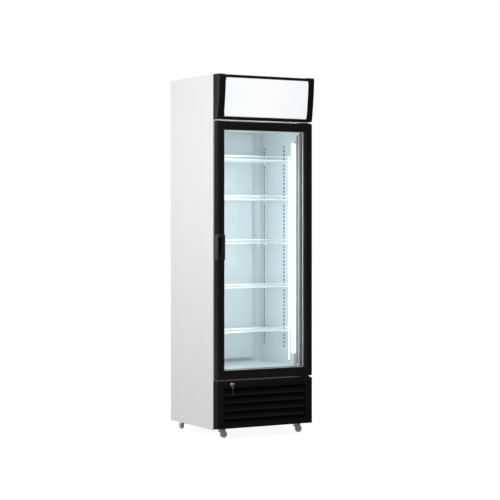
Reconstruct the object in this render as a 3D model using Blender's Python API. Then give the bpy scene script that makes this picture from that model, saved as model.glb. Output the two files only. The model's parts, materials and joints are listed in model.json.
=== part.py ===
"""Upright glass door merchandiser: insulated cabinet, hinged glass door, lit canopy, wire shelves,
refrigeration parts and swivel castors. Metres, +Z up, front towards -Y, origin on the floor below the
middle of the cabinet."""
from math import cos, pi, radians, sin

import bmesh
import bpy
from mathutils import Matrix, Vector

# ---- driving dimensions -------------------------------------------------------------------------
WIDTH = 0.600
HEIGHT = 1.980
CASING_DEPTH = 0.515
CASTOR_HEIGHT = 0.048
DOOR_PROUD = 0.049
CANOPY_PROUD = 0.074
WALL = 0.045
SHEET = 0.0012
LINER = 0.0015
GAP = 0.0003

HALF = WIDTH / 2
DEPTH = CASING_DEPTH + CANOPY_PROUD
REAR = DEPTH / 2
FRONT = REAR - CASING_DEPTH
DOOR_FRONT = FRONT - DOOR_PROUD
CANOPY_FRONT = -REAR
SHEET_X = HALF - SHEET - GAP
ROOF_UNDER = HEIGHT - SHEET - GAP

# inside of the cabinet
INNER_X = HALF - WALL
INNER_REAR = REAR - 0.050
INNER_FLOOR = 0.373
CEILING = 1.690
CHAMBER_TOP = 1.933
HEADER_REAR = FRONT + WALL
STRIP_REAR = FRONT + 0.024
FOAM_FLOOR = 0.331

# door
DOOR_X = HALF - 0.0005
DOOR_LOW = 0.322
DOOR_HIGH = 1.723
DOOR_REAR = FRONT - 0.015
STILE = 0.043
TOP_RAIL = 0.047
BOTTOM_RAIL = 0.0495
GLASS_GRIP = 0.78
GLASS = 0.004
SPACER = 0.012
LIP = 0.0037
GASKET_EDGE = 0.022
HINGE_X = HALF - 0.015
HINGE_Y = FRONT - 0.027
PIN = 0.004
PIN_HOLE = 0.0052

# handle insert
HANDLE_LOW = 0.970
HANDLE_HIGH = 1.109
HANDLE_X = -DOOR_X + 0.026
POCKET_MARGIN = 0.018

# grille and lock
GRILLE_LOW = 0.057
GRILLE_HIGH = 0.311
GRILLE_WALL = 0.0025
LOUVRE_FIRST = 0.0956
LOUVRE_PITCH = 0.0416
LOUVRE_COUNT = 5
LOUVRE_HEIGHT = 0.026
LOUVRE_X = 0.256
LOCK_X = -0.211
LOCK_Z = 0.296
LOCK_RADIUS = 0.011
CORE_RADIUS = 0.006
CAM_REACH = 0.034
CAM_Y = -0.2405
CAM_THICK = 0.0025

# canopy
CANOPY_LOW = 1.7335
CAP_HIGH = 1.9775
CANOPY_HIGH = 1.9730
CAP_WIDTH = 0.039
CAP_ROUND = 0.014
CANOPY_BULGE = 0.0035

# shelves and rails
SHELF_LEVELS = (0.567, 0.813, 1.059, 1.303, 1.523)
SHELF_HALF = 0.240
SHELF_FRONT = FRONT + 0.080
SHELF_REAR = FRONT + 0.424
SHELF_THICK = 0.005
FENCE_HIGH = 0.022
RAIL_YS = {"front": FRONT + 0.182, "rear": FRONT + 0.407}
RAIL_HALF = 0.010
RAIL_THICK = 0.008
RAIL_LOW = 0.460
RAIL_HIGH = 1.636
CLIP_REACH = 0.012

# lamp in the cabinet
LAMP_Y = FRONT + 0.0645
LAMP_HALF = 0.015
LAMP_LOW = 0.440
LAMP_HIGH = 1.616

# rear duct cover
DUCT_HALF = 0.188
DUCT_FRONT = FRONT + 0.430

# condenser unit behind the grille
COIL_LEFT = -0.228
COIL_RIGHT = 0.036
COIL_FRONT = -0.206
COIL_REAR = -0.146
FAN_X = (COIL_LEFT + COIL_RIGHT) / 2
FAN_Z = 0.155
FAN_HOLE = 0.084
EVAPORATOR_FAN_Y = -0.080
EVAPORATOR_HOLE = 0.070

# castors: pivot places and the way each one trails, in degrees from +Y
BASE_Z = 0.0505
BASE_THICK = 0.002
CASTORS = {
    "front_left": (-0.2335, -0.192, -95.0),
    "front_right": (0.243, -0.192, -95.0),
    "rear_left": (-0.250, 0.246, 0.0),
    "rear_right": (0.243, 0.246, -70.0),
}
CASTOR_TRAIL = 0.012
WHEEL_RADIUS = 0.019
WHEEL_HALF = 0.008
STEM_RADIUS = 0.004
HEAD_RADIUS = 0.023


# ---- building blocks ----------------------------------------------------------------------------
def clear_scene():
    for item in list(bpy.data.objects):
        bpy.data.objects.remove(item)


def material(name, colour, roughness, metallic=0.0):
    finish = bpy.data.materials.get(name) or bpy.data.materials.new(name)
    finish.use_nodes = True
    shader = finish.node_tree.nodes["Principled BSDF"]
    shader.inputs["Base Color"].default_value = (*colour, 1.0)
    shader.inputs["Roughness"].default_value = roughness
    shader.inputs["Metallic"].default_value = metallic
    finish.diffuse_color = (*colour, 1.0)
    return finish


def place(name, bm, finish):
    """Close a bmesh into a named object with outward faces."""
    bmesh.ops.recalc_face_normals(bm, faces=bm.faces)
    mesh = bpy.data.meshes.new(name)
    bm.to_mesh(mesh)
    bm.free()
    mesh.materials.append(finish)
    item = bpy.data.objects.new(name, mesh)
    bpy.context.scene.collection.objects.link(item)
    return item


def smooth(item, angle=35.0):
    item.data.shade_smooth()
    item.data.set_sharp_from_angle(angle=radians(angle))
    return item


def copy_of(original, name):
    """A second object on the same mesh."""
    item = bpy.data.objects.new(name, original.data)
    bpy.context.scene.collection.objects.link(item)
    return item


def combine(target, tool, operation):
    """Join or cut target with tool, keep the result as a plain mesh and drop the tool."""
    change = target.modifiers.new(operation.title(), "BOOLEAN")
    change.operation = operation
    change.solver = "EXACT"
    change.object = tool
    evaluated = target.evaluated_get(bpy.context.evaluated_depsgraph_get())
    mesh = bpy.data.meshes.new_from_object(evaluated)
    target.modifiers.remove(change)
    target.data = mesh
    mesh.name = target.name
    bpy.data.objects.remove(tool)
    return target


def cut(target, tool):
    return combine(target, tool, "DIFFERENCE")


def join(target, tool):
    return combine(target, tool, "UNION")


def box(name, low, high, finish):
    bm = bmesh.new()
    bmesh.ops.create_cube(bm, size=1.0)
    low = Vector(low)
    high = Vector(high)
    for vertex in bm.verts:
        vertex.co = Vector(low[i] + (vertex.co[i] + 0.5) * (high[i] - low[i]) for i in range(3))
    return place(name, bm, finish)


def prism(name, outline, axis, start, end, finish):
    """Extrude an outline along an axis. X: points are (y, z); Y: (x, z); Z: (x, y)."""
    spots = {
        "X": lambda u, v: (start, u, v),
        "Y": lambda u, v: (u, start, v),
        "Z": lambda u, v: (u, v, start),
    }
    step = {"X": (end - start, 0, 0), "Y": (0, end - start, 0), "Z": (0, 0, end - start)}
    bm = bmesh.new()
    face = bm.faces.new([bm.verts.new(spots[axis](u, v)) for u, v in outline])
    grown = bmesh.ops.extrude_face_region(bm, geom=[face])
    moved = [part for part in grown["geom"] if isinstance(part, bmesh.types.BMVert)]
    bmesh.ops.translate(bm, verts=moved, vec=step[axis])
    return place(name, bm, finish)


def turned(name, profile, centre, axis, segments, finish, hollow=False):
    """Spin a profile of (radius, height) points about an axis through centre."""
    bm = bmesh.new()
    line = [bm.verts.new((radius, 0.0, height)) for radius, height in profile]
    pairs = list(zip(line, line[1:]))
    if hollow:
        pairs.append((line[-1], line[0]))
    edges = [bm.edges.new(pair) for pair in pairs]
    bmesh.ops.spin(bm, geom=line + edges, cent=(0, 0, 0), axis=(0, 0, 1), dvec=(0, 0, 0),
                   angle=2 * pi, steps=segments, use_merge=True)
    bmesh.ops.remove_doubles(bm, verts=bm.verts, dist=1e-6)
    turn = Vector((0, 0, 1)).rotation_difference(Vector(axis)).to_matrix().to_4x4()
    bmesh.ops.transform(bm, matrix=Matrix.Translation(centre) @ turn, verts=bm.verts)
    return smooth(place(name, bm, finish))


def rod(name, radius, start, end, segments, finish):
    """A plain round bar between two points."""
    start = Vector(start)
    way = Vector(end) - start
    profile = [(0, 0), (radius, 0), (radius, way.length), (0, way.length)]
    return turned(name, profile, start, way.normalized(), segments, finish)


def ring(name, outer, widths, section, finish):
    """Sweep a closed section round an upright rectangle with mitred corners.

    outer is (x_low, x_high, z_low, z_high); widths are (left, right, bottom, top); each section
    point is (share of the width inwards, y)."""
    x_low, x_high, z_low, z_high = outer
    left, right, bottom, top = widths
    corners = []
    for share, y in section:
        corners.append((
            (x_low + share * left, y, z_low + share * bottom),
            (x_high - share * right, y, z_low + share * bottom),
            (x_high - share * right, y, z_high - share * top),
            (x_low + share * left, y, z_high - share * top),
        ))
    bm = bmesh.new()
    rows = [[bm.verts.new(spot) for spot in row] for row in corners]
    for index, row in enumerate(rows):
        following = rows[(index + 1) % len(rows)]
        for side in range(4):
            after = (side + 1) % 4
            bm.faces.new((row[side], row[after], following[after], following[side]))
    return place(name, bm, finish)


def flat_ring(name, outer, inner, y_low, y_high, finish):
    """A ring of rectangular section between two upright rectangles."""
    widths = (inner[0] - outer[0], outer[1] - inner[1], inner[2] - outer[2], outer[3] - inner[3])
    section = [(0, y_low), (1, y_low), (1, y_high), (0, y_high)]
    return ring(name, outer, widths, section, finish)


def pierced(name, across, along, plane, low, high, finish):
    """A plate with windows. Lines of across and along alternate bar, window, bar, window, bar."""
    bm = bmesh.new()
    spots = {}
    for i, u in enumerate(across):
        for j, v in enumerate(along):
            spots[i, j] = bm.verts.new((u, v, low) if plane == "XY" else (u, low, v))
    for i in range(len(across) - 1):
        for j in range(len(along) - 1):
            if i % 2 == 0 or j % 2 == 0:
                bm.faces.new((spots[i, j], spots[i + 1, j], spots[i + 1, j + 1], spots[i, j + 1]))
    rise = (0, 0, high - low) if plane == "XY" else (0, high - low, 0)
    grown = bmesh.ops.extrude_face_region(bm, geom=list(bm.faces))
    moved = [part for part in grown["geom"] if isinstance(part, bmesh.types.BMVert)]
    bmesh.ops.translate(bm, verts=moved, vec=rise)
    return place(name, bm, finish)


def bar_lines(low, high, windows, bar):
    """Edges of evenly spaced bars of one width, with windows between them."""
    pitch = (high - low - bar) / windows
    lines = []
    for index in range(windows + 1):
        lines += [low + index * pitch, low + index * pitch + bar]
    return lines


def arc(centre, radius, start, end, steps):
    """Points on an arc in a plane, in degrees."""
    angles = [radians(start + (end - start) * step / steps) for step in range(steps + 1)]
    return [(centre[0] + radius * cos(a), centre[1] + radius * sin(a)) for a in angles]


# ---- materials ----------------------------------------------------------------------------------
def finishes():
    return {
        "white": material("white_paint", (0.80, 0.81, 0.83), 0.35),
        "grey": material("grey_paint", (0.48, 0.49, 0.50), 0.45),
        "black": material("black_plastic", (0.018, 0.018, 0.020), 0.30),
        "liner": material("liner_plastic", (0.62, 0.72, 0.75), 0.40),
        "foam": material("foam", (0.75, 0.68, 0.45), 0.90),
        "steel": material("galvanised_steel", (0.45, 0.46, 0.47), 0.45, 0.9),
        "chrome": material("bright_steel", (0.70, 0.70, 0.72), 0.20, 1.0),
        "aluminium": material("aluminium_fins", (0.65, 0.66, 0.68), 0.35, 1.0),
        "copper": material("copper_tube", (0.72, 0.38, 0.22), 0.30, 1.0),
        "glass": material("door_glass", (0.80, 0.92, 0.92), 0.02),
        "gasket": material("grey_rubber", (0.42, 0.43, 0.44), 0.60),
        "dark": material("compressor_paint", (0.02, 0.02, 0.022), 0.40),
        "wire": material("white_coated_wire", (0.82, 0.86, 0.88), 0.30),
        "lamp": material("lamp_diffuser", (0.95, 0.97, 1.00), 0.30),
        "panel": material("canopy_diffuser", (0.93, 0.94, 0.96), 0.35),
        "strip": material("breaker_plastic", (0.09, 0.095, 0.10), 0.50),
        "tread": material("castor_tread", (0.30, 0.31, 0.32), 0.55),
    }


# ---- cabinet ------------------------------------------------------------------------------------
def build_casing(paint):
    z = CASTOR_HEIGHT
    inside = HALF - SHEET
    outline = [(-HALF, z), (-HALF, HEIGHT), (HALF, HEIGHT), (HALF, z),
               (inside, z), (inside, HEIGHT - SHEET), (-inside, HEIGHT - SHEET), (-inside, z)]
    prism("outer_casing", outline, "Y", FRONT, REAR, paint["white"])
    box("back_panel", (-SHEET_X, REAR - 0.0025, FOAM_FLOOR), (SHEET_X, REAR - 0.0013, ROOF_UNDER),
        paint["grey"])
    opening = (-INNER_X - 0.0005, INNER_X + 0.0005, INNER_FLOOR - 0.0025, CEILING + 0.0005)
    flat_ring("front_frame", (-SHEET_X, SHEET_X, 0.262, ROOF_UNDER), opening,
              FRONT, FRONT + SHEET, paint["grey"])


def build_insulation(paint):
    """Foam between casing and liner, open at the door and closed in front of the evaporator."""
    clear = LINER + GAP
    foam = box("insulation_foam", (-SHEET_X, FRONT + SHEET + GAP, FOAM_FLOOR),
               (SHEET_X, REAR - 0.0028, ROOF_UNDER), paint["foam"])
    chamber = box("chamber", (-INNER_X - clear, HEADER_REAR - clear, INNER_FLOOR - clear),
                  (INNER_X + clear, INNER_REAR + clear, CHAMBER_TOP + clear), paint["foam"])
    cut(foam, chamber)
    edge = 0.0043
    mouth = box("mouth", (-INNER_X - edge, FRONT - 0.01, INNER_FLOOR - edge),
                (INNER_X + edge, HEADER_REAR + 0.01, CEILING + edge), paint["foam"])
    cut(foam, mouth)
    rim = 0.004
    flat_ring("breaker_strip", (-INNER_X - rim, INNER_X + rim, INNER_FLOOR - rim, CEILING + rim),
              (-INNER_X, INNER_X, INNER_FLOOR, CEILING),
              FRONT + SHEET + GAP, STRIP_REAR, paint["strip"])


def liner_outline(grow, front):
    return [(front, INNER_FLOOR - grow), (INNER_REAR + grow, INNER_FLOOR - grow),
            (INNER_REAR + grow, CHAMBER_TOP + grow), (HEADER_REAR - grow, CHAMBER_TOP + grow),
            (HEADER_REAR - grow, CEILING + grow), (front, CEILING + grow)]


def build_liner(paint):
    liner = prism("inner_liner", liner_outline(LINER, STRIP_REAR + GAP), "X",
                  -INNER_X - LINER, INNER_X + LINER, paint["liner"])
    hollow = prism("hollow", liner_outline(0.0, STRIP_REAR - 0.01), "X",
                   -INNER_X, INNER_X, paint["liner"])
    cut(liner, hollow)


def build_base(paint):
    """Base tray with folded front and rear lips, pierced for the castor stems."""
    front = FRONT + 0.004
    rear = REAR - 0.004
    low = BASE_Z
    high = BASE_Z + BASE_THICK
    outline = [(front, low), (rear, low), (rear, low + 0.062), (rear - BASE_THICK, low + 0.062),
               (rear - BASE_THICK, high), (front + BASE_THICK, high),
               (front + BASE_THICK, low + 0.018), (front, low + 0.018)]
    base = prism("base_plate", outline, "X", -SHEET_X, SHEET_X, paint["steel"])
    for x, y, _ in CASTORS.values():
        cut(base, rod("stem_hole", STEM_RADIUS + 0.0008, (x, y, low - 0.01), (x, y, low + 0.01), 16,
                      paint["steel"]))
    cut(base, rod("gland_hole", 0.0094, (-0.200, rear - 0.01, 0.092), (-0.200, rear + 0.01, 0.092),
                  16, paint["steel"]))
    gland = [(0, 0), (0.009, 0), (0.009, 0.0105), (0.014, 0.0105), (0.014, 0.013), (0.0095, 0.0138),
             (0.004, 0.0138), (0.004, 0.003), (0, 0.003)]
    turned("cable_gland", gland, (-0.200, rear - 0.0102, 0.092), (0, 1, 0), 16, paint["black"])


# ---- grille and lock ----------------------------------------------------------------------------
def build_grille(paint):
    black = paint["black"]
    grille = box("front_grille", (-HALF, DOOR_FRONT, GRILLE_LOW), (HALF, FRONT - GAP, GRILLE_HIGH), black)
    cut(grille, box("hollow", (-HALF + GRILLE_WALL, DOOR_FRONT + GRILLE_WALL, GRILLE_LOW + GRILLE_WALL),
                    (HALF - GRILLE_WALL, FRONT + 0.01, GRILLE_HIGH - GRILLE_WALL), black))
    for row in range(LOUVRE_COUNT):
        middle = LOUVRE_FIRST + row * LOUVRE_PITCH
        low = middle - LOUVRE_HEIGHT / 2
        high = middle + LOUVRE_HEIGHT / 2
        cut(grille, box("slot", (-LOUVRE_X, DOOR_FRONT - 0.01, low),
                        (LOUVRE_X, DOOR_FRONT + GRILLE_WALL + 0.001, high), black))
        blade = [(DOOR_FRONT + 0.001, low - 0.004), (DOOR_FRONT + 0.001, low - 0.0015),
                 (DOOR_FRONT + 0.018, low + 0.014), (DOOR_FRONT + 0.018, low + 0.0115)]
        join(grille, prism("blade", blade, "X", -LOUVRE_X - 0.004, LOUVRE_X + 0.004, black))
    bar = DOOR_FRONT + 0.006
    for x in (-LOUVRE_X / 3, LOUVRE_X / 3):
        join(grille, box("tie", (x - 0.0015, bar, LOUVRE_FIRST - 0.018),
                         (x + 0.0015, bar + 0.010, GRILLE_HIGH - 0.001), black))
    cut(grille, rod("lock_hole", 0.0084, (LOCK_X, DOOR_FRONT - 0.01, LOCK_Z),
                    (LOCK_X, DOOR_FRONT + 0.01, LOCK_Z), 16, black))
    cut(grille, cam_slot(GRILLE_HIGH - 0.010, GRILLE_HIGH + 0.010, black))
    cut(grille, box("hinge_notch", (HINGE_X - 0.050, FRONT - 0.0036, GRILLE_HIGH - 0.01),
                    (HALF - 0.0029, FRONT + 0.01, GRILLE_HIGH + 0.01), black))


def cam_slot(low, high, finish):
    """The space that the lock's cam swings through."""
    return box("cam_slot", (LOCK_X - 0.0075, CAM_Y - 0.0015, low),
               (LOCK_X + 0.033, CAM_Y + CAM_THICK + 0.0015, high), finish)


def build_lock(paint):
    chrome = paint["chrome"]
    face = DOOR_FRONT - 0.0023
    bore = CORE_RADIUS + 0.0004
    barrel = [(bore, 0), (LOCK_RADIUS - 0.0015, 0), (LOCK_RADIUS, 0.001), (LOCK_RADIUS, 0.002),
              (0.008, 0.002), (0.008, 0.030), (bore, 0.030)]
    turned("lock_barrel", barrel, (LOCK_X, face, LOCK_Z), (0, 1, 0), 16, chrome, hollow=True)
    core = rod("lock_core", CORE_RADIUS, (LOCK_X, face, LOCK_Z), (LOCK_X, CAM_Y + 0.001, LOCK_Z), 16, chrome)
    cam = [(-0.007, -0.006), (CAM_REACH, -0.005), (CAM_REACH, 0.005), (-0.007, 0.006)]
    join(core, prism("cam", [(LOCK_X + x, LOCK_Z + z) for x, z in cam], "Y",
                     CAM_Y, CAM_Y + CAM_THICK, chrome))
    cut(core, box("keyway", (LOCK_X - 0.0013, face - 0.01, LOCK_Z - 0.0036),
                  (LOCK_X + 0.0013, face + 0.022, LOCK_Z + 0.0036), chrome))
    blade = 0.0032
    bow = 0.0085
    bow_y = DOOR_FRONT - 0.0160
    outline = [(face + 0.0215, LOCK_Z - blade), (face + 0.0215, LOCK_Z + blade)]
    outline += arc((bow_y, LOCK_Z), bow, 22, 338, 14)
    prism("lock_key", outline, "X", LOCK_X - 0.001, LOCK_X + 0.001, chrome)
    build_spare_key(chrome)


def build_spare_key(chrome):
    """A second key on a ring that hangs from the shank of the key in the lock."""
    wire = 0.0007
    loop = 0.0100
    ring_y = DOOR_FRONT - 0.0050
    loop_z = LOCK_Z + 0.0042 + wire - loop
    bm = bmesh.new()
    circle = [bm.verts.new((loop + wire * cos(a), 0, wire * sin(a)))
              for a in (radians(60 * step) for step in range(6))]
    edges = [bm.edges.new((circle[i], circle[(i + 1) % 6])) for i in range(6)]
    bmesh.ops.spin(bm, geom=circle + edges, cent=(0, 0, 0), axis=(0, 0, 1), dvec=(0, 0, 0),
                   angle=2 * pi, steps=18, use_merge=True)
    bmesh.ops.remove_doubles(bm, verts=bm.verts, dist=1e-6)
    bmesh.ops.rotate(bm, verts=bm.verts, matrix=Matrix.Rotation(pi / 2, 3, "X"))
    bmesh.ops.translate(bm, verts=bm.verts, vec=(LOCK_X, ring_y, loop_z))
    key = smooth(place("spare_key", bm, chrome))
    top = loop_z - loop + 0.0020
    bow = 0.0062
    centre = (ring_y - 0.0030, top - bow)
    outline = arc(centre, bow, -70, 250, 14)
    outline += [(centre[0] - 0.0022, top - 0.046), (centre[0] + 0.0022, top - 0.048)]
    join(key, prism("blade", outline, "X", LOCK_X - 0.0009, LOCK_X + 0.0009, chrome))


# ---- door ---------------------------------------------------------------------------------------
def door_rect(share):
    """The door's outline moved inwards by a share of its rails."""
    return (-DOOR_X + share * STILE, DOOR_X - share * STILE,
            DOOR_LOW + share * BOTTOM_RAIL, DOOR_HIGH - share * TOP_RAIL)


def build_door(paint):
    black = paint["black"]
    outer_low = DOOR_FRONT + LIP + GAP
    outer_high = outer_low + GLASS
    inner_low = outer_high + SPACER + 2 * GAP
    inner_high = inner_low + GLASS
    section = [(0, DOOR_REAR), (0, DOOR_FRONT), (1, DOOR_FRONT), (1, DOOR_FRONT + LIP),
               (GLASS_GRIP, DOOR_FRONT + LIP), (GLASS_GRIP, inner_high + GAP),
               (1, inner_high + GAP), (1, DOOR_REAR)]
    widths = (STILE, STILE, BOTTOM_RAIL, TOP_RAIL)
    frame = ring("door_frame", door_rect(0), widths, section, black)
    for z_low, z_high in ((DOOR_LOW - 0.01, DOOR_LOW + 0.0185), (DOOR_HIGH - 0.0205, DOOR_HIGH + 0.01)):
        cut(frame, rod("pin_hole", PIN_HOLE, (HINGE_X, HINGE_Y, z_low), (HINGE_X, HINGE_Y, z_high),
                       16, black))
    cut(frame, box("handle_notch", (-HALF - 0.01, DOOR_FRONT - 0.01, HANDLE_LOW - GAP),
                   (HANDLE_X + GAP, DOOR_REAR - 0.003, HANDLE_HIGH + GAP), black))
    cut(frame, cam_slot(DOOR_LOW - 0.01, LOCK_Z + CAM_REACH + 0.0025, black))
    pane = door_rect(GLASS_GRIP + 0.01)
    for name, low in (("door_glass_outer", outer_low), ("door_glass_inner", inner_low)):
        box(name, (pane[0], low, pane[2]), (pane[1], low + GLASS, pane[3]), paint["glass"])
    inset = 0.0075
    inner = (pane[0] + inset, pane[1] - inset, pane[2] + inset, pane[3] - inset)
    flat_ring("door_spacer", pane, inner, outer_high + GAP, inner_low - GAP, paint["aluminium"])
    edge = GASKET_EDGE
    seal = (-HALF + edge, HALF - edge, 0.3440, 1.7140)
    hole = (-INNER_X - 0.0015, INNER_X + 0.0015, INNER_FLOOR - 0.003, CEILING + 0.0015)
    flat_ring("door_gasket", seal, hole, DOOR_REAR + GAP, FRONT - GAP, paint["gasket"])


def build_handle(paint):
    """Recessed pull set into the corner of the left stile: side wall, front plate and finger pocket."""
    black = paint["black"]
    outside = -HALF + 0.0001
    front = DOOR_FRONT - 0.0030
    handle = box("door_handle", (outside, front + 0.001, HANDLE_LOW),
                 (HANDLE_X, DOOR_REAR - 0.003 - GAP, HANDLE_HIGH), black)
    join(handle, box("plate", (outside, front, HANDLE_LOW),
                     (-DOOR_X + STILE + 0.0025, DOOR_FRONT - GAP, HANDLE_HIGH), black))
    low = HANDLE_LOW + POCKET_MARGIN + 0.007
    high = HANDLE_HIGH - POCKET_MARGIN
    cut(handle, box("pocket", (outside + 0.005, front - 0.01, low),
                    (HANDLE_X - 0.002, DOOR_REAR - 0.009, high), black))
    cut(handle, box("undercut", (outside + 0.0022, front + 0.008, low),
                    (HANDLE_X - 0.002, DOOR_REAR - 0.009, high), black))


def build_hinges(paint):
    """Plates in the gaps above and below the door, each with a pin for the door and a flange to the frame."""
    metal = paint["steel"]
    left = HINGE_X - 0.049
    for name, plate_z, pin, flange in (
        ("hinge_bracket_top", 1.7245, (1.7045, 1.7260), (0.205, 0.258, 1.7260, 1.7750)),
        ("hinge_bracket_bottom", 0.3140, (0.3150, 0.3370), (left, 0.2965, 0.2700, 0.3150)),
    ):
        bracket = box(name, (left, HINGE_Y - 0.0085, plate_z),
                      (0.2965, FRONT - 2 * GAP, plate_z + 0.003), metal)
        join(bracket, box("flange", (flange[0], FRONT - 0.0031, flange[2]),
                          (flange[1], FRONT - 2 * GAP, flange[3]), metal))
        join(bracket, rod("pin", PIN, (HINGE_X, HINGE_Y, pin[0]), (HINGE_X, HINGE_Y, pin[1]), 16, metal))


# ---- canopy -------------------------------------------------------------------------------------
def canopy_face(z):
    """How far forward the canopy's bowed face stands at a height."""
    share = (z - CANOPY_LOW) / (CAP_HIGH - CAP_ROUND - CANOPY_LOW)
    lean = (CANOPY_FRONT - DOOR_FRONT) * share
    return DOOR_FRONT + lean - 4 * CANOPY_BULGE * share * (1 - share)


def face_points(low, high, back, steps):
    """Points up the canopy's face, set back from it."""
    heights = [low + (high - low) * step / steps for step in range(steps + 1)]
    return [(canopy_face(z) + back, z) for z in heights]


def cap_outline(back, margin, rear):
    """The end cap's side view: a bowed face with round corners at its bottom and top."""
    bottom = 0.006
    top = CAP_ROUND - margin
    low = CANOPY_LOW + margin
    high = CAP_HIGH - margin
    points = [(rear, low)]
    points += arc((canopy_face(low + bottom) + back + bottom, low + bottom), bottom, 270, 180, 3)
    points += face_points(low + bottom + 0.02, high - top - 0.02, back, 7)
    points += arc((canopy_face(high - top) + back + top, high - top), top, 180, 90, 4)
    return points + [(rear, high)]


def build_canopy(paint):
    black = paint["black"]
    rear = FRONT - GAP
    inner = HALF - CAP_WIDTH
    for name, sign in (("canopy_cap_left", -1), ("canopy_cap_right", 1)):
        cap = prism(name, cap_outline(0.0, 0.0, rear), "X", sign * inner, sign * HALF, black)
        cut(cap, prism("hollow", cap_outline(0.003, 0.003, rear - 0.004), "X",
                       sign * (inner - 0.01), sign * (HALF - 0.003), black))
        smooth(cap, 40.0)
    end = inner - GAP
    back = FRONT - 0.0040
    skin = 0.0015
    low = CANOPY_LOW + 0.0005
    high = CANOPY_HIGH
    panel_low = CANOPY_LOW + 0.0145
    panel_high = CANOPY_HIGH - 0.0150
    outline = [(back, low)] + face_points(low, panel_low, 0.0005, 2)
    outline += [(canopy_face(panel_low) + 0.0020, panel_low), (canopy_face(low + skin) + 0.0020, low + skin),
                (back - skin, low + skin), (back - skin, high - skin),
                (canopy_face(high - skin) + 0.0020, high - skin)]
    outline += [(canopy_face(panel_high) + 0.0020, panel_high)] + face_points(panel_high, high, 0.0005, 2)
    outline += [(back, high)]
    prism("canopy_housing", outline, "X", -end, end, black)
    panel = face_points(panel_low + GAP, panel_high - GAP, 0.0008, 8)
    panel += face_points(panel_low + GAP, panel_high - GAP, 0.0038, 8)[::-1]
    smooth(prism("canopy_panel", panel, "X", -end, end, paint["panel"]))
    middle = (CANOPY_LOW + CANOPY_HIGH) / 2
    batten_y = back - skin - GAP
    box("canopy_batten", (-0.240, batten_y - 0.014, middle - 0.018), (0.240, batten_y, middle + 0.018),
        paint["white"])
    tube = batten_y - 0.014 - GAP - 0.008
    rod("canopy_lamp", 0.008, (-0.225, tube, middle), (0.225, tube, middle), 12, paint["lamp"])


# ---- fittings in the cabinet --------------------------------------------------------------------
def build_rails(paint):
    """Upright rails on both walls, each with one support clip under every shelf."""
    for side, sign in (("left", -1), ("right", 1)):
        wall = sign * (INNER_X - GAP)
        face = sign * (INNER_X - GAP - RAIL_THICK)
        tip = sign * (INNER_X - GAP - RAIL_THICK - CLIP_REACH)
        outline = [(wall, RAIL_LOW), (wall, RAIL_HIGH), (face, RAIL_HIGH)]
        for level in reversed(SHELF_LEVELS):
            top = level - SHELF_THICK / 2 - GAP
            outline += [(face, top), (tip, top), (tip, top - 0.004), (face, top - 0.012)]
        outline.append((face, RAIL_LOW))
        for where, y in RAIL_YS.items():
            prism(f"shelf_rail_{where}_{side}", outline, "Y", y - RAIL_HALF, y + RAIL_HALF, paint["white"])


def build_shelves(paint):
    """Wire shelf as a grid with a low fence along its front, repeated at each level."""
    across = bar_lines(-SHELF_HALF, SHELF_HALF, 8, 0.006)
    half = SHELF_THICK / 2
    along = [SHELF_FRONT, SHELF_FRONT + 0.006, SHELF_REAR - 0.006, SHELF_REAR]
    shelf = pierced("shelf_1", across, along, "XY", -half, half, paint["wire"])
    posts = bar_lines(-SHELF_HALF + 0.002, SHELF_HALF - 0.002, 4, 0.005)
    rows = [-half + 0.001, half + 0.001, FENCE_HIGH - 0.005, FENCE_HIGH]
    join(shelf, pierced("fence", posts, rows, "XZ", SHELF_FRONT + 0.001, SHELF_FRONT + 0.005,
                        paint["wire"]))
    for number, level in enumerate(SHELF_LEVELS, start=1):
        item = shelf if number == 1 else copy_of(shelf, f"shelf_{number}")
        item.location.z = level


def build_lamp(paint):
    """Upright lamp in the front right corner: channel with end blocks, and a rounded diffuser."""
    wall = INNER_X - GAP
    reach = wall - 0.018
    plate = wall - 0.005
    outline = [(wall, INNER_FLOOR + GAP), (wall, LAMP_HIGH + 0.012), (reach, LAMP_HIGH + 0.012),
               (reach, LAMP_HIGH), (plate, LAMP_HIGH), (plate, LAMP_LOW), (reach, LAMP_LOW),
               (reach, INNER_FLOOR + GAP)]
    prism("lamp_channel", outline, "Y", LAMP_Y - LAMP_HALF, LAMP_Y + LAMP_HALF, paint["liner"])
    back = plate - GAP
    radius = 0.006
    bend = back - 0.013 + radius
    outline = [(back, LAMP_Y - LAMP_HALF)] + arc((bend, LAMP_Y - LAMP_HALF + radius), radius, 270, 180, 4)
    outline += arc((bend, LAMP_Y + LAMP_HALF - radius), radius, 180, 90, 4) + [(back, LAMP_Y + LAMP_HALF)]
    smooth(prism("lamp_diffuser", outline, "Z", LAMP_LOW + GAP, LAMP_HIGH - GAP, paint["lamp"]))


def build_duct(paint):
    """Folded cover of the return air duct on the rear wall."""
    wall = INNER_REAR - GAP
    skin = SHEET
    ear = 0.014
    half = DUCT_HALF
    outline = [(-half - ear, wall), (-half - ear, wall - skin), (-half, wall - skin), (-half, DUCT_FRONT),
               (half, DUCT_FRONT), (half, wall - skin), (half + ear, wall - skin), (half + ear, wall),
               (half - skin, wall), (half - skin, DUCT_FRONT + skin),
               (-half + skin, DUCT_FRONT + skin), (-half + skin, wall)]
    prism("duct_cover", outline, "Z", 0.392, CEILING - GAP, paint["liner"])


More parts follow.
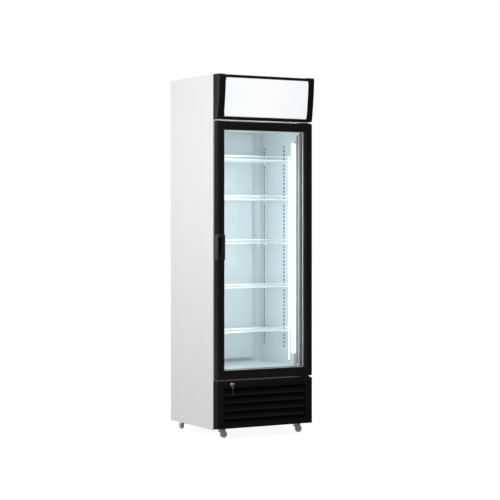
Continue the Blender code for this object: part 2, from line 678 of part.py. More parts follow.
def fan_blade(name, hub, reach, bore, thick, finish):
    """Hub with five pitched blades about +Z, standing on z = 0."""
    profile = [(bore, 0), (hub, 0), (hub, thick), (bore, thick)]
    fan = turned(name, profile, (0, 0, 0), (0, 0, 1), 15, finish, hollow=True)
    pitch = radians(28)
    for number in range(5):
        outline = [(-0.010, hub - 0.002), (0.010, hub - 0.002), (0.026, reach * 0.72), (0.018, reach),
                   (-0.020, reach * 0.96), (-0.024, reach * 0.62)]
        blade = prism("blade", outline, "Z", -0.0008, 0.0008, finish)
        turn = Matrix.Rotation(radians(72 * number), 4, "Z") @ Matrix.Translation((0, 0, thick / 2))
        blade.data.transform(turn @ Matrix.Rotation(pitch, 4, "Y"))
        join(fan, blade)
    return fan


def motor(name, radius, length, shaft, shaft_length, centre, axis, finish):
    """Round motor with its shaft pointing along axis, its front face at centre."""
    profile = [(0, -length), (radius * 0.8, -length), (radius, -length * 0.8), (radius, -length * 0.1),
               (radius * 0.85, 0), (shaft, 0), (shaft, shaft_length), (0, shaft_length)]
    return turned(name, profile, centre, axis, 16, finish)


def build_evaporator(paint):
    """Ceiling panel with the evaporator fan, and the finned coil in the chamber above it."""
    low = CEILING + 0.0005
    panel = box("ceiling_panel", (-INNER_X + GAP, HEADER_REAR + GAP, low),
                (INNER_X - GAP, DUCT_FRONT - 0.001, low + 0.002), paint["liner"])
    y = EVAPORATOR_FAN_Y
    cut(panel, rod("hole", EVAPORATOR_HOLE, (0, y, low - 0.01), (0, y, low + 0.01), 24, paint["liner"]))
    top = low + 0.062
    reach = EVAPORATOR_HOLE + 0.012
    outline = [(-reach, low + 0.001), (-reach, top), (reach, top), (reach, low + 0.001),
               (reach - 0.003, low + 0.001), (reach - 0.003, top - 0.003),
               (-reach + 0.003, top - 0.003), (-reach + 0.003, low + 0.001)]
    join(panel, prism("bridge", outline, "Y", y - 0.007, y + 0.007, paint["liner"]))
    face = top - 0.003 - GAP - 0.034
    motor("evaporator_fan_motor", 0.022, 0.034, 0.003, 0.018, (0, y, face), (0, 0, -1), paint["dark"])
    blade = fan_blade("evaporator_fan_blade", 0.014, EVAPORATOR_HOLE - 0.005, 0.0036, 0.012, paint["black"])
    blade.location = (0, y, low + 0.0045)
    comb("evaporator_coil", -0.190, 0.190, 0.030, 0.150, low + 0.0033, 1.860, 16, paint["aluminium"])


def comb(name, x_low, x_high, y_low, y_high, z_low, z_high, fins, finish):
    """Finned coil block: upright fins on a solid spine."""
    pitch = (x_high - x_low) / (2 * fins - 1)
    spine = y_high - 0.012
    outline = [(x_low, y_high)]
    for index in range(fins):
        x = x_low + 2 * index * pitch
        root = [] if index == 0 else [(x, spine)]
        outline += root + [(x, y_low), (x + pitch, y_low)]
        outline += [] if index == fins - 1 else [(x + pitch, spine)]
    outline.append((x_high, y_high))
    return prism(name, outline, "Z", z_low, z_high, finish)


# ---- machine compartment ------------------------------------------------------------------------
def build_condenser(paint):
    steel = paint["steel"]
    low = BASE_Z + BASE_THICK + GAP
    comb("condenser_coil", COIL_LEFT, COIL_RIGHT, COIL_FRONT, COIL_REAR, low, 0.250, 14,
         paint["aluminium"])
    front = COIL_REAR + 0.0005
    rear = front + 0.028
    shroud = box("condenser_fan_shroud", (COIL_LEFT, front, low), (COIL_RIGHT, rear, 0.252), steel)
    cut(shroud, box("hollow", (COIL_LEFT + 0.002, front - 0.01, low + 0.002),
                    (COIL_RIGHT - 0.002, rear - 0.002, 0.250), steel))
    cut(shroud, rod("hole", FAN_HOLE, (FAN_X, rear - 0.01, FAN_Z), (FAN_X, rear + 0.01, FAN_Z), 24, steel))
    reach = FAN_HOLE + 0.006
    back = rear + 0.058
    outline = [(rear - 0.001, FAN_Z - reach), (back, FAN_Z - reach), (back, FAN_Z + reach),
               (rear - 0.001, FAN_Z + reach), (rear - 0.001, FAN_Z + reach - 0.003),
               (back - 0.003, FAN_Z + reach - 0.003), (back - 0.003, FAN_Z - reach + 0.003),
               (rear - 0.001, FAN_Z - reach + 0.003)]
    join(shroud, prism("bridge", outline, "X", FAN_X - 0.008, FAN_X + 0.008, steel))
    face = back - 0.003 - GAP - 0.040
    motor("condenser_fan_motor", 0.030, 0.040, 0.004, 0.026, (FAN_X, face, FAN_Z), (0, -1, 0),
          paint["dark"])
    blade = fan_blade("condenser_fan_blade", 0.020, FAN_HOLE - 0.005, 0.0046, 0.016, paint["steel"])
    blade.data.transform(Matrix.Rotation(pi / 2, 4, "X"))
    blade.location = (FAN_X, face - 0.006, FAN_Z)


def build_compressor(paint):
    """Domed compressor on its foot plate, with the drip tray that rests on it."""
    low = BASE_Z + BASE_THICK + GAP
    x = 0.135
    y = 0.110
    can = [(0, low + 0.010), (0.050, low + 0.010), (0.074, low + 0.040), (0.078, low + 0.085),
           (0.074, low + 0.125), (0.055, low + 0.165), (0.022, low + 0.178), (0, low + 0.180)]
    body = turned("compressor", can, (x, y, 0), (0, 0, 1), 20, paint["dark"])
    join(body, box("foot", (x - 0.095, y - 0.055, low), (x + 0.095, y + 0.055, low + 0.014), paint["dark"]))
    tray_low = low + 0.180 + GAP
    tray = box("drip_tray", (x - 0.095, y - 0.080, tray_low), (x + 0.095, y + 0.080, tray_low + 0.028),
               paint["dark"])
    cut(tray, box("hollow", (x - 0.093, y - 0.078, tray_low + 0.002),
                  (x + 0.093, y + 0.078, tray_low + 0.05), paint["dark"]))


def build_electrics(paint):
    low = BASE_Z + BASE_THICK + GAP
    box("electrical_box", (-0.260, 0.070, low), (-0.150, 0.190, low + 0.110), paint["steel"])
    drier = [(0, 0), (0.004, 0), (0.010, 0.010), (0.010, 0.088), (0.004, 0.098), (0, 0.098)]
    turned("filter_drier", drier, (COIL_RIGHT + 0.0105, -0.175, low), (0, 0, 1), 12, paint["copper"])


def build_pipe(paint):
    """Discharge pipe from the compressor to the top of the condenser."""
    start = Vector((0.052, 0.110, 0.160))
    stops = [start, Vector((0.030, 0.110, 0.185)), Vector((0.030, 0.090, 0.225)),
             Vector((0.030, 0.020, 0.262)), Vector((0.010, -0.080, 0.268)),
             Vector((-0.010, -0.168, 0.268)), Vector((-0.010, -0.176, 0.2545))]
    curve = bpy.data.curves.new("discharge_pipe", "CURVE")
    curve.dimensions = "3D"
    curve.bevel_depth = 0.0035
    curve.bevel_resolution = 1
    curve.use_fill_caps = True
    spots = rounded(stops, 5)
    spline = curve.splines.new("POLY")
    spline.points.add(len(spots) - 1)
    for point, spot in zip(spline.points, spots):
        point.co = (*spot, 1.0)
    curve.materials.append(paint["copper"])
    item = bpy.data.objects.new("discharge_pipe", curve)
    bpy.context.scene.collection.objects.link(item)


def rounded(stops, steps):
    """A smooth path through the stops (Catmull-Rom)."""
    spots = [stops[0]]
    padded = [stops[0] * 2 - stops[1]] + stops + [stops[-1] * 2 - stops[-2]]
    for before, start, end, after in zip(padded, padded[1:], padded[2:], padded[3:]):
        for step in range(1, steps + 1):
            t = step / steps
            spots.append(0.5 * (2 * start + (end - before) * t
                                + (2 * before - 5 * start + 4 * end - after) * t * t
                                + (3 * start - before - 3 * end + after) * t * t * t))
    return spots


# ---- castors ------------------------------------------------------------------------------------
def castor_fork(paint):
    """Fork about its stem: swivel head, two tapered legs, axle and stem. Trails along +Y."""
    metal = paint["chrome"]
    head = BASE_Z - GAP
    profile = [(0, head - 0.0085), (0.013, head - 0.0085), (HEAD_RADIUS, head - 0.002),
               (HEAD_RADIUS, head), (STEM_RADIUS, head), (STEM_RADIUS, head + 0.020), (0, head + 0.020)]
    fork = turned("fork", profile, (0, 0, 0), (0, 0, 1), 16, metal)
    leg_in = WHEEL_HALF + 0.0012
    leg_out = leg_in + 0.0018
    bridge = WHEEL_RADIUS * 2 + 0.0012
    top = head - 0.007
    leg = [(-0.011, top), (-0.011, bridge), (CASTOR_TRAIL - 0.004, WHEEL_RADIUS - 0.003),
           (CASTOR_TRAIL + 0.004, WHEEL_RADIUS - 0.003), (0.016, bridge), (0.016, top)]
    yoke = prism("yoke", leg, "X", -leg_out, leg_out, metal)
    cut(yoke, box("gap", (-leg_in, -0.05, 0.0), (leg_in, 0.05, bridge), metal))
    join(fork, yoke)
    axle = rod("axle", 0.0025, (-leg_out - 0.0008, CASTOR_TRAIL, WHEEL_RADIUS),
               (leg_out + 0.0008, CASTOR_TRAIL, WHEEL_RADIUS), 10, metal)
    join(fork, axle)
    return fork


def castor_wheel(paint):
    """Solid wheel with a bored hub, centred on its axle, which runs along X."""
    rim = WHEEL_RADIUS
    half = WHEEL_HALF
    profile = [(0.0032, -half), (0.007, -half), (0.008, -half + 0.002), (rim - 0.005, -half + 0.002),
               (rim - 0.003, -half), (rim, -half + 0.003), (rim, half - 0.003), (rim - 0.003, half),
               (rim - 0.005, half - 0.002), (0.008, half - 0.002), (0.007, half), (0.0032, half)]
    return turned("wheel", profile, (0, 0, 0), (1, 0, 0), 20, paint["tread"], hollow=True)


def build_castors(paint):
    """Four castors, each fork on its stem's axis and each wheel on its axle."""
    fork = castor_fork(paint)
    wheel = castor_wheel(paint)
    for where, (x, y, turn) in CASTORS.items():
        angle = radians(turn)
        yoke = copy_of(fork, f"castor_fork_{where}")
        yoke.location = (x, y, 0)
        yoke.rotation_euler.z = angle
        disc = copy_of(wheel, f"castor_wheel_{where}")
        disc.location = (x - CASTOR_TRAIL * sin(angle), y + CASTOR_TRAIL * cos(angle), WHEEL_RADIUS)
        disc.rotation_euler.z = angle
    bpy.data.objects.remove(fork)
    bpy.data.objects.remove(wheel)


def main():
    clear_scene()
    paint = finishes()
    for build in (build_casing, build_insulation, build_liner, build_base, build_grille, build_lock,
                  build_door, build_handle, build_hinges, build_canopy, build_rails, build_shelves,
                  build_lamp, build_duct, build_evaporator, build_condenser, build_compressor,
                  build_electrics, build_pipe, build_castors):
        build(paint)


main()
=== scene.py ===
"""Looks of an upright glass door merchandiser: painted casing, lit canopy, glazed door, wire shelves,
louvred grille and swivel castors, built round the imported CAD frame. Metres, +Z up, front towards -Y."""
import json
from math import atan2, ceil, copysign, cos, pi, radians, sin

import bmesh
import bpy
from mathutils import Matrix, Vector


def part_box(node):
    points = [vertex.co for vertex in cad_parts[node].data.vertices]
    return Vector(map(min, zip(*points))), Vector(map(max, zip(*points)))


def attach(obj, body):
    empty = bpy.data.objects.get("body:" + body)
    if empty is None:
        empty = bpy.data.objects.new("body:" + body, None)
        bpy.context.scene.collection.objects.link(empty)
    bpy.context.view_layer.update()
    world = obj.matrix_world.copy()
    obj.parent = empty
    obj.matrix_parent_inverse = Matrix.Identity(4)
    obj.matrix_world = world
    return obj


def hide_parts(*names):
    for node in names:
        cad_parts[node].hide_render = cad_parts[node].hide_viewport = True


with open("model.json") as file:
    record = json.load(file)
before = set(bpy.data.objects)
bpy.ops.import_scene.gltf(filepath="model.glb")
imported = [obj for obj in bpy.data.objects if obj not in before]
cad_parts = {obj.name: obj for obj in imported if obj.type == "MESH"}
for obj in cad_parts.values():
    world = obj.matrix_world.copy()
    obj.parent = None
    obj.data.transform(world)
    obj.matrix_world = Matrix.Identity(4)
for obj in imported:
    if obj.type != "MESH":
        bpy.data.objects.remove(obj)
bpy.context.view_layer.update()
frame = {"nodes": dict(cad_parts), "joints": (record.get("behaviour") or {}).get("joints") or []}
nodes = frame["nodes"]
joints = {joint["name"]: joint for joint in frame["joints"]}

# ---- driving dimensions, read from the frame
casing_low, casing_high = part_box("outer_casing")
door_low, door_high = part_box("door_frame")
grille_low, grille_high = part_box("front_grille")
liner_low, liner_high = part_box("inner_liner")
panel_low, panel_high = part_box("canopy_panel")
cap_low, cap_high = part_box("canopy_cap_left")
HALF = casing_high.x
FRONT = casing_low.y
REAR = casing_high.y
DOOR_FRONT = door_low.y
SHEET = 0.0012
SHELF_NUMBERS = range(1, 6)
CORNERS = ("front_left", "front_right", "rear_left", "rear_right")


# ---- materials
def node(tree, kind, **settings):
    made = tree.nodes.new(kind)
    for key, value in settings.items():
        setattr(made, key, value)
    return made


def noise(tree, where, scale, detail=3.0, roughness=0.55):
    made = node(tree, "ShaderNodeTexNoise")
    made.inputs["Scale"].default_value = scale
    made.inputs["Detail"].default_value = detail
    made.inputs["Roughness"].default_value = roughness
    tree.links.new(where, made.inputs["Vector"])
    return made.outputs["Fac"]


def remap(tree, value, low, high, start=0.3, end=0.7):
    made = node(tree, "ShaderNodeMapRange")
    for name, number in (("From Min", start), ("From Max", end), ("To Min", low), ("To Max", high)):
        made.inputs[name].default_value = number
    tree.links.new(value, made.inputs["Value"])
    return made.outputs["Result"]


def mixed(tree, share, first, second):
    """Colour between first and second; either is a colour or another node's output."""
    made = node(tree, "ShaderNodeMix", data_type="RGBA")
    tree.links.new(share, made.inputs["Factor"])
    for slot, colour in (("A", first), ("B", second)):
        socket = next(s for s in made.inputs if s.name == slot and s.type == "RGBA")
        if isinstance(colour, tuple):
            socket.default_value = (*colour, 1.0)
        else:
            tree.links.new(colour, socket)
    return next(s for s in made.outputs if s.type == "RGBA")


def shade(colour, factor):
    return tuple(min(1.0, channel * factor) for channel in colour)


def finish(name, colour, roughness, metallic=0.0, specular=0.5, mottle=0.06, mottle_scale=9.0,
           grain=0.1, grain_scale=700.0, stretch=(1, 1, 1), wear=0.0, coat=0.0):
    """Surface with drifting colour, uneven gloss, a fine grain bump and slightly worn edges."""
    made = bpy.data.materials.new(name)
    made.use_nodes = True
    tree = made.node_tree
    shader = tree.nodes["Principled BSDF"]
    shader.inputs["Metallic"].default_value = metallic
    shader.inputs["Specular IOR Level"].default_value = specular
    shader.inputs["Coat Weight"].default_value = coat
    shader.inputs["Coat Roughness"].default_value = 0.12
    place = node(tree, "ShaderNodeTexCoord").outputs["Object"]
    scaled = node(tree, "ShaderNodeMapping")
    scaled.inputs["Scale"].default_value = stretch
    tree.links.new(place, scaled.inputs["Vector"])
    place = scaled.outputs["Vector"]
    drift = remap(tree, noise(tree, place, mottle_scale), 0.0, 1.0)
    surface = mixed(tree, drift, shade(colour, 1.0 - mottle), shade(colour, 1.0 + mottle))
    if wear:
        sharp = node(tree, "ShaderNodeNewGeometry").outputs["Pointiness"]
        edge = remap(tree, sharp, 0.0, wear, 0.52, 0.62)
        surface = mixed(tree, edge, surface, shade(colour, 3.0))
    tree.links.new(surface, shader.inputs["Base Color"])
    fine = noise(tree, place, grain_scale, 2.0)
    gloss = remap(tree, noise(tree, place, mottle_scale * 5), roughness * 0.88, roughness * 1.14)
    tree.links.new(gloss, shader.inputs["Roughness"])
    bump = node(tree, "ShaderNodeBump")
    bump.inputs["Strength"].default_value = grain
    bump.inputs["Distance"].default_value = 0.0004
    tree.links.new(fine, bump.inputs["Height"])
    tree.links.new(bump.outputs["Normal"], shader.inputs["Normal"])
    return made


def spangled(name, colour, roughness):
    """Zinc coated sheet with its crystal pattern."""
    made = finish(name, colour, roughness, metallic=0.9, mottle=0.1, grain=0.05)
    tree = made.node_tree
    shader = tree.nodes["Principled BSDF"]
    cells = node(tree, "ShaderNodeTexVoronoi")
    cells.inputs["Scale"].default_value = 95.0
    tree.links.new(node(tree, "ShaderNodeTexCoord").outputs["Object"], cells.inputs["Vector"])
    tone = node(tree, "ShaderNodeSeparateColor")
    tree.links.new(cells.outputs["Color"], tone.inputs["Color"])
    share = remap(tree, tone.outputs["Red"], 0.0, 1.0, 0.0, 1.0)
    surface = mixed(tree, share, shade(colour, 0.82), shade(colour, 1.12))
    tree.links.new(surface, shader.inputs["Base Color"])
    return made


def glowing(name, low, high, strength, across=0.0):
    """Lit diffuser; with a width, its tone drifts from low in the middle to high at both ends."""
    made = finish(name, (0.10, 0.10, 0.10), 0.38, specular=0.2, mottle=0.01, grain=0.03, grain_scale=1500.0)
    tree = made.node_tree
    shader = tree.nodes["Principled BSDF"]
    split = node(tree, "ShaderNodeSeparateXYZ")
    tree.links.new(node(tree, "ShaderNodeTexCoord").outputs["Object"], split.inputs["Vector"])
    if across:
        aside = node(tree, "ShaderNodeMath", operation="ABSOLUTE")
        tree.links.new(split.outputs["X"], aside.inputs[0])
        share = remap(tree, aside.outputs[0], 0.0, 1.0, 0.0, across)
    else:
        share = remap(tree, noise(tree, split.inputs["Vector"].links[0].from_socket, 30.0), 0.0, 1.0)
    tree.links.new(mixed(tree, share, low, high), shader.inputs["Emission Color"])
    shader.inputs["Emission Strength"].default_value = strength
    return made


def glazing(name, tint):
    """Clear glass with faint smears."""
    made = finish(name, tint, 0.02, mottle=0.004, grain=0.0)
    tree = made.node_tree
    shader = tree.nodes["Principled BSDF"]
    shader.inputs["Transmission Weight"].default_value = 1.0
    shader.inputs["IOR"].default_value = 1.45
    for link in list(shader.inputs["Roughness"].links) + list(shader.inputs["Normal"].links):
        tree.links.remove(link)
    smear = remap(tree, noise(tree, tree.nodes["Mapping"].outputs[0], 6.0), 0.0, 0.02)
    tree.links.new(smear, shader.inputs["Roughness"])
    return made


PAINT = {
    "casing": finish("casing_enamel", (0.83, 0.83, 0.835), 0.34, mottle=0.006, grain=0.025,
                     grain_scale=420.0),
    "white": finish("white_enamel", (0.78, 0.80, 0.81), 0.35, mottle=0.02, grain=0.10),
    "face": finish("grey_face_paint", (0.62, 0.62, 0.63), 0.42, mottle=0.03, grain=0.06),
    "back": finish("back_panel_paint", (0.52, 0.53, 0.54), 0.45, mottle=0.04, grain=0.15),
    "black": finish("moulded_black", (0.0135, 0.0132, 0.0138), 0.50, specular=0.0, mottle=0.12,
                    grain=0.16, grain_scale=1400.0, wear=0.35),
    "cap": finish("cap_black", (0.0085, 0.0085, 0.0094), 0.34, specular=0.15, mottle=0.10,
                  grain=0.06, grain_scale=900.0, wear=0.4),
    "profile": finish("door_profile_black", (0.0180, 0.0170, 0.0172), 0.52, specular=0.0, mottle=0.10,
                      grain=0.06, grain_scale=300.0, stretch=(1, 1, 0.12), wear=0.35),
    # Blades and ties: the moulded black made darker still, painted shade for the deep louvre slots.
    "blade": finish("louvre_black_painted_shade", (0.0105, 0.0103, 0.0105), 0.6, specular=0.0, mottle=0.12),
    "felt": finish("filter_felt", (0.0045, 0.0045, 0.0047), 0.8, specular=0.0, mottle=0.25,
                   mottle_scale=900.0, grain=0.6, grain_scale=1600.0),
    "strip": finish("strip_plastic", (0.16, 0.17, 0.175), 0.55, specular=0.3, mottle=0.06),
    "grip": finish("handle_satin_black", (0.0120, 0.0120, 0.0130), 0.30, specular=0.38, mottle=0.08,
                   grain=0.05, grain_scale=900.0, wear=0.3),
    "liner": finish("liner_enamel", (0.70, 0.765, 0.795), 0.36, mottle=0.015, grain=0.06, grain_scale=260.0),
    "rail": finish("rail_enamel", (0.70, 0.765, 0.795), 0.36, mottle=0.02, grain=0.05),
    # Near-black plate behind the rail slots: painted shade.
    "slot": finish("slot_painted_shade", (0.012, 0.014, 0.015), 0.8, specular=0.05, mottle=0.08),
    "wire": finish("coated_wire", (0.82, 0.86, 0.88), 0.26, mottle=0.03, grain=0.10, grain_scale=500.0,
                   coat=0.3),
    "lamp": glowing("lamp_tube_diffuser", (0.97, 0.99, 1.0), (1.0, 1.0, 1.0), 2.1),
    "panel": glowing("canopy_diffuser", (0.935, 0.935, 0.932), (0.868, 0.876, 0.892), 1.0, across=0.26),
    "glass": glazing("door_glass", (0.955, 0.985, 0.985)),
    # Dark grey plate on the wall in front of the lamp: painted shade beside the lamp.
    "trim": finish("trim_painted_shade", (0.20, 0.21, 0.215), 0.45, specular=0.3, mottle=0.04, grain=0.05),
    "rubber": finish("gasket_rubber", (0.085, 0.088, 0.092), 0.62, specular=0.2, mottle=0.06, grain=0.2),
    "chrome": finish("bright_plate", (0.80, 0.80, 0.81), 0.20, metallic=1.0, mottle=0.05, grain=0.04),
    "zinc": finish("zinc_plate", (0.80, 0.81, 0.80), 0.30, metallic=0.55, mottle=0.08, grain=0.08,
                   grain_scale=1100.0, wear=0.1),
    "steel": spangled("galvanised_sheet", (0.55, 0.56, 0.57), 0.42),
    "fins": finish("fin_aluminium", (0.70, 0.71, 0.73), 0.34, metallic=0.95, mottle=0.08, grain=0.12,
                   stretch=(1, 1, 0.1)),
    "spacer": finish("spacer_aluminium", (0.46, 0.455, 0.44), 0.42, metallic=0.5, mottle=0.05, grain=0.1),
    "copper": finish("copper_tube", (0.72, 0.36, 0.20), 0.28, metallic=1.0, mottle=0.18, mottle_scale=40.0,
                     grain=0.06),
    "enamel": finish("compressor_enamel", (0.014, 0.014, 0.015), 0.34, specular=0.5, mottle=0.10,
                     grain=0.30, grain_scale=420.0, wear=0.3),
    "foam": finish("rigid_foam", (0.72, 0.62, 0.36), 0.85, specular=0.1, mottle=0.12, mottle_scale=60.0,
                   grain=0.9, grain_scale=900.0),
    "tray": finish("tray_plastic", (0.016, 0.016, 0.018), 0.5, specular=0.35, mottle=0.10, grain=0.2),
    "tread": finish("castor_tread", (0.40, 0.41, 0.36), 0.36, specular=0.45, mottle=0.08, grain=0.3),
    "hub": finish("castor_hub", (0.72, 0.73, 0.74), 0.30, metallic=0.4, mottle=0.06, grain=0.08),
    "fan": finish("fan_plastic", (0.02, 0.02, 0.022), 0.42, specular=0.4, mottle=0.08, grain=0.15),
}


# ---- making pieces
def link_object(name, data):
    made = bpy.data.objects.new(name, data)
    bpy.context.scene.collection.objects.link(made)
    return made


def closed_object(name, bm):
    """Object made of a bmesh, with its faces turned outwards."""
    bmesh.ops.recalc_face_normals(bm, faces=bm.faces)
    mesh = bpy.data.meshes.new(name)
    bm.to_mesh(mesh)
    bm.free()
    return link_object(name, mesh)


def add(name, bm, paint, body="root", stands_for=(), bevel=0.0, segments=2, angle=32.0):
    """Close a bmesh into a piece that rides on a body, with rounded edges and smooth shading."""
    piece = closed_object(name, bm)
    mesh = piece.data
    mesh.materials.append(PAINT[paint])
    mesh.shade_smooth()
    if bevel:
        edge = piece.modifiers.new("edges", "BEVEL")
        edge.width = bevel
        edge.segments = segments
        edge.limit_method = "ANGLE"
        edge.angle_limit = radians(angle)
        edge.harden_normals = True
    else:
        mesh.set_sharp_from_angle(angle=radians(angle))
    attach(piece, body)
    if stands_for:
        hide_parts(*stands_for)
    return piece


def refined(name, paint, bevel, body="root", segments=2, angle=32.0):
    """A copy of a CAD node with clean flat faces, its edges rounded."""
    bm = bmesh.new()
    bm.from_mesh(nodes[name].data)
    bmesh.ops.remove_doubles(bm, verts=bm.verts, dist=1e-6)
    bmesh.ops.dissolve_limit(bm, angle_limit=radians(0.5), verts=bm.verts, edges=bm.edges)
    return add(name + "_piece", bm, paint, body, (name,), bevel, segments, angle)


def loft(bm, loops, closed=False):
    """Skin a row of equal loops, and cap its two ends or, when closed, join them to each other."""
    rows = [[bm.verts.new(spot) for spot in loop] for loop in loops]
    pairs = list(zip(rows, rows[1:])) + ([(rows[-1], rows[0])] if closed else [])
    for first, second in pairs:
        count = len(first)
        for index in range(count):
            after = (index + 1) % count
            bm.faces.new((first[index], first[after], second[after], second[index]))
    if not closed:
        bm.faces.new(rows[0][::-1])
        bm.faces.new(rows[-1])


def along(axis, first, second, third):
    """A point from its two outline coordinates and its distance along axis."""
    if axis == "X":
        return (third, first, second)
    if axis == "Y":
        return (first, third, second)
    return (first, second, third)


def prism(bm, outline, axis, low, high):
    loft(bm, [[along(axis, a, b, end) for a, b in outline] for end in (low, high)])


def block(bm, low, high):
    outline = [(low[0], low[1]), (high[0], low[1]), (high[0], high[1]), (low[0], high[1])]
    prism(bm, outline, "Z", low[2], high[2])


def rounded_block(bm, low, high, radius, axis="Z"):
    """Block whose four edges along axis are round."""
    a, b, c = {"Y": (0, 2, 1), "Z": (0, 1, 2)}[axis]
    prism(bm, rounded_rect(low[a], high[a], low[b], high[b], radius, 3), axis, low[c], high[c])


def arc(x, z, radius, start, end, steps):
    """Points on a circle from one angle to another, in degrees."""
    turns = (radians(start + (end - start) * step / steps) for step in range(steps + 1))
    return [(x + radius * cos(turn), z + radius * sin(turn)) for turn in turns]


def rounded_rect(x_low, x_high, z_low, z_high, radius, steps=4):
    spots = []
    for x, z, start in ((x_high - radius, z_high - radius, 0), (x_low + radius, z_high - radius, 90),
                        (x_low + radius, z_low + radius, 180), (x_high - radius, z_low + radius, 270)):
        spots += arc(x, z, radius, start, start + 90, steps)
    return spots


def circle(centre, side, other, radius, steps):
    """Points round centre, in the plane of two directions."""
    turns = (2 * pi * step / steps for step in range(steps))
    return [centre + (side * cos(turn) + other * sin(turn)) * radius for turn in turns]


def mirrored(profile, span=0.0):
    """A turned profile's first half and its mirror image, which ends at span."""
    return profile + [(radius, span - distance) for radius, distance in profile[::-1]]


def lathe(bm, profile, centre, axis, steps=32, hollow=False):
    """Turn (radius, distance) points about axis. A hollow profile is a closed loop off the axis."""
    axis = Vector(axis).normalized()
    side = axis.orthogonal().normalized()
    other = axis.cross(side)
    rings = []
    for radius, distance in profile:
        spot = Vector(centre) + axis * distance
        spots = circle(spot, side, other, radius, steps) if radius else [spot]
        rings.append([bm.verts.new(place) for place in spots])
    pairs = list(zip(rings, rings[1:])) + ([(rings[-1], rings[0])] if hollow else [])
    for first, second in pairs:
        for index in range(steps):
            after = (index + 1) % steps
            if len(first) == 1:
                bm.faces.new((first[0], second[after], second[index]))
            elif len(second) == 1:
                bm.faces.new((first[index], first[after], second[0]))
            else:
                bm.faces.new((first[index], first[after], second[after], second[index]))


def tube(bm, path, radius, sides=8, closed=False):
    """Round wire along a path, with its cross-section carried on without twisting."""
    path = [Vector(spot) for spot in path]
    count = len(path)
    loops = []
    side = None
    for index, spot in enumerate(path):
        before = path[index - 1] if index or closed else spot
        after = path[(index + 1) % count] if index < count - 1 or closed else spot
        forward = (after - before).normalized()
        side = forward.orthogonal() if side is None else side - forward * side.dot(forward)
        side.normalize()
        loops.append(circle(spot, side, forward.cross(side), radius, sides))
    loft(bm, loops, closed)


def pierced(bm, across, up, axis, low, high, solid):
    """Plate from grid lines; solid(column, row) says which cells are kept."""
    cells = {(i, j) for i in range(len(across) - 1) for j in range(len(up) - 1) if solid(i, j)}
    spots = {}

    def spot(i, j, level):
        if (i, j, level) not in spots:
            spots[i, j, level] = bm.verts.new(along(axis, across[i], up[j], (low, high)[level]))
        return spots[i, j, level]

    for i, j in sorted(cells):
        ring = [(i, j), (i + 1, j), (i + 1, j + 1), (i, j + 1)]
        for level in (0, 1):
            bm.faces.new([spot(a, b, level) for a, b in ring])
        for side, (di, dj) in enumerate(((0, -1), (1, 0), (0, 1), (-1, 0))):
            if (i + di, j + dj) not in cells:
                (a, b), (c, d) = ring[side], ring[(side + 1) % 4]
                bm.faces.new([spot(a, b, 0), spot(c, d, 0), spot(c, d, 1), spot(a, b, 1)])


def rim(bm, low, high, widths, section):
    """Rectangular frame in the XZ plane, in the box from low to high. Each section point is
    (share of the rail's width, extra, y), and widths are the left, right, bottom and top rails'."""
    left, right, bottom, top = widths
    loops = []
    for x, z, width_x, width_z in ((low.x, low.z, left, bottom), (high.x, low.z, -right, bottom),
                                   (high.x, high.z, -right, -top), (low.x, high.z, left, -top)):
        loops.append([(x + share * width_x + extra * copysign(1, width_x), y,
                       z + share * width_z + extra * copysign(1, width_z)) for share, extra, y in section])
    loft(bm, loops, closed=True)


def cut(target, bm):
    """Cut a bmesh's closed shape out of target's mesh."""
    tool = closed_object("tool", bm)
    change = target.modifiers.new("cut", "BOOLEAN")
    change.operation = "DIFFERENCE"
    change.solver = "EXACT"
    change.object = tool
    result = bpy.data.meshes.new_from_object(target.evaluated_get(bpy.context.evaluated_depsgraph_get()))
    target.modifiers.remove(change)
    target.data = result
    bpy.data.objects.remove(tool)


def drill(target, radius, centre, axis, low, high, steps):
    """Bore a round hole along axis, from low to high past centre."""
    bm = bmesh.new()
    lathe(bm, [(0, low), (radius, low), (radius, high), (0, high)], centre, axis, steps)
    cut(target, bm)


def cut_cam_slot(target, z_low):
    """Open the slot, 22 mm high from z_low, that the lock's cam swings up through."""
    low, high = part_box("lock_core")
    bm = bmesh.new()
    block(bm, (low.x - 0.002, high.y - 0.0040, z_low), (high.x + 0.002, high.y + 0.0015, z_low + 0.022))
    cut(target, bm)


def screws(name, spots, axis, radius, height):
    """Pan head screws with a round recess, one at each spot."""
    bm = bmesh.new()
    profile = [(0, -0.0005), (radius, -0.0005), (radius, height * 0.35), (radius * 0.86, height * 0.8),
               (radius * 0.55, height), (radius * 0.38, height), (radius * 0.22, height * 0.3),
               (0, height * 0.25)]
    for spot in spots:
        lathe(bm, profile, spot, axis, 14)
    add(name, bm, "zinc", angle=40.0)


# ---- cabinet
def build_casing():
    """Folded side and roof sheet with round folds, and the plain pieces of the body."""
    bend = 0.0045
    low = casing_low.z
    high = casing_high.z
    outer = [(-HALF, low)]
    inner = [(-HALF + SHEET, low)]
    for x, start in ((-HALF + bend, 180), (HALF - bend, 90)):
        outer += arc(x, high - bend, bend, start, start - 90, 5)
        inner += arc(x, high - bend, bend - SHEET, start, start - 90, 5)
    outer.append((HALF, low))
    inner.append((HALF - SHEET, low))
    bm = bmesh.new()
    prism(bm, outer + inner[::-1], "Y", FRONT, REAR)
    add("casing_sheet", bm, "casing", stands_for=("outer_casing",), bevel=0.0003, segments=1)
    build_back()
    refined("front_frame", "face", 0.0004)
    refined("breaker_strip", "strip", 0.0006)
    refined("insulation_foam", "foam", 0.0008)
    refined("inner_liner", "liner", 0.0040, segments=4)
    refined("base_plate", "steel", 0.0006)
    refined("cable_gland", "black", 0.0004)


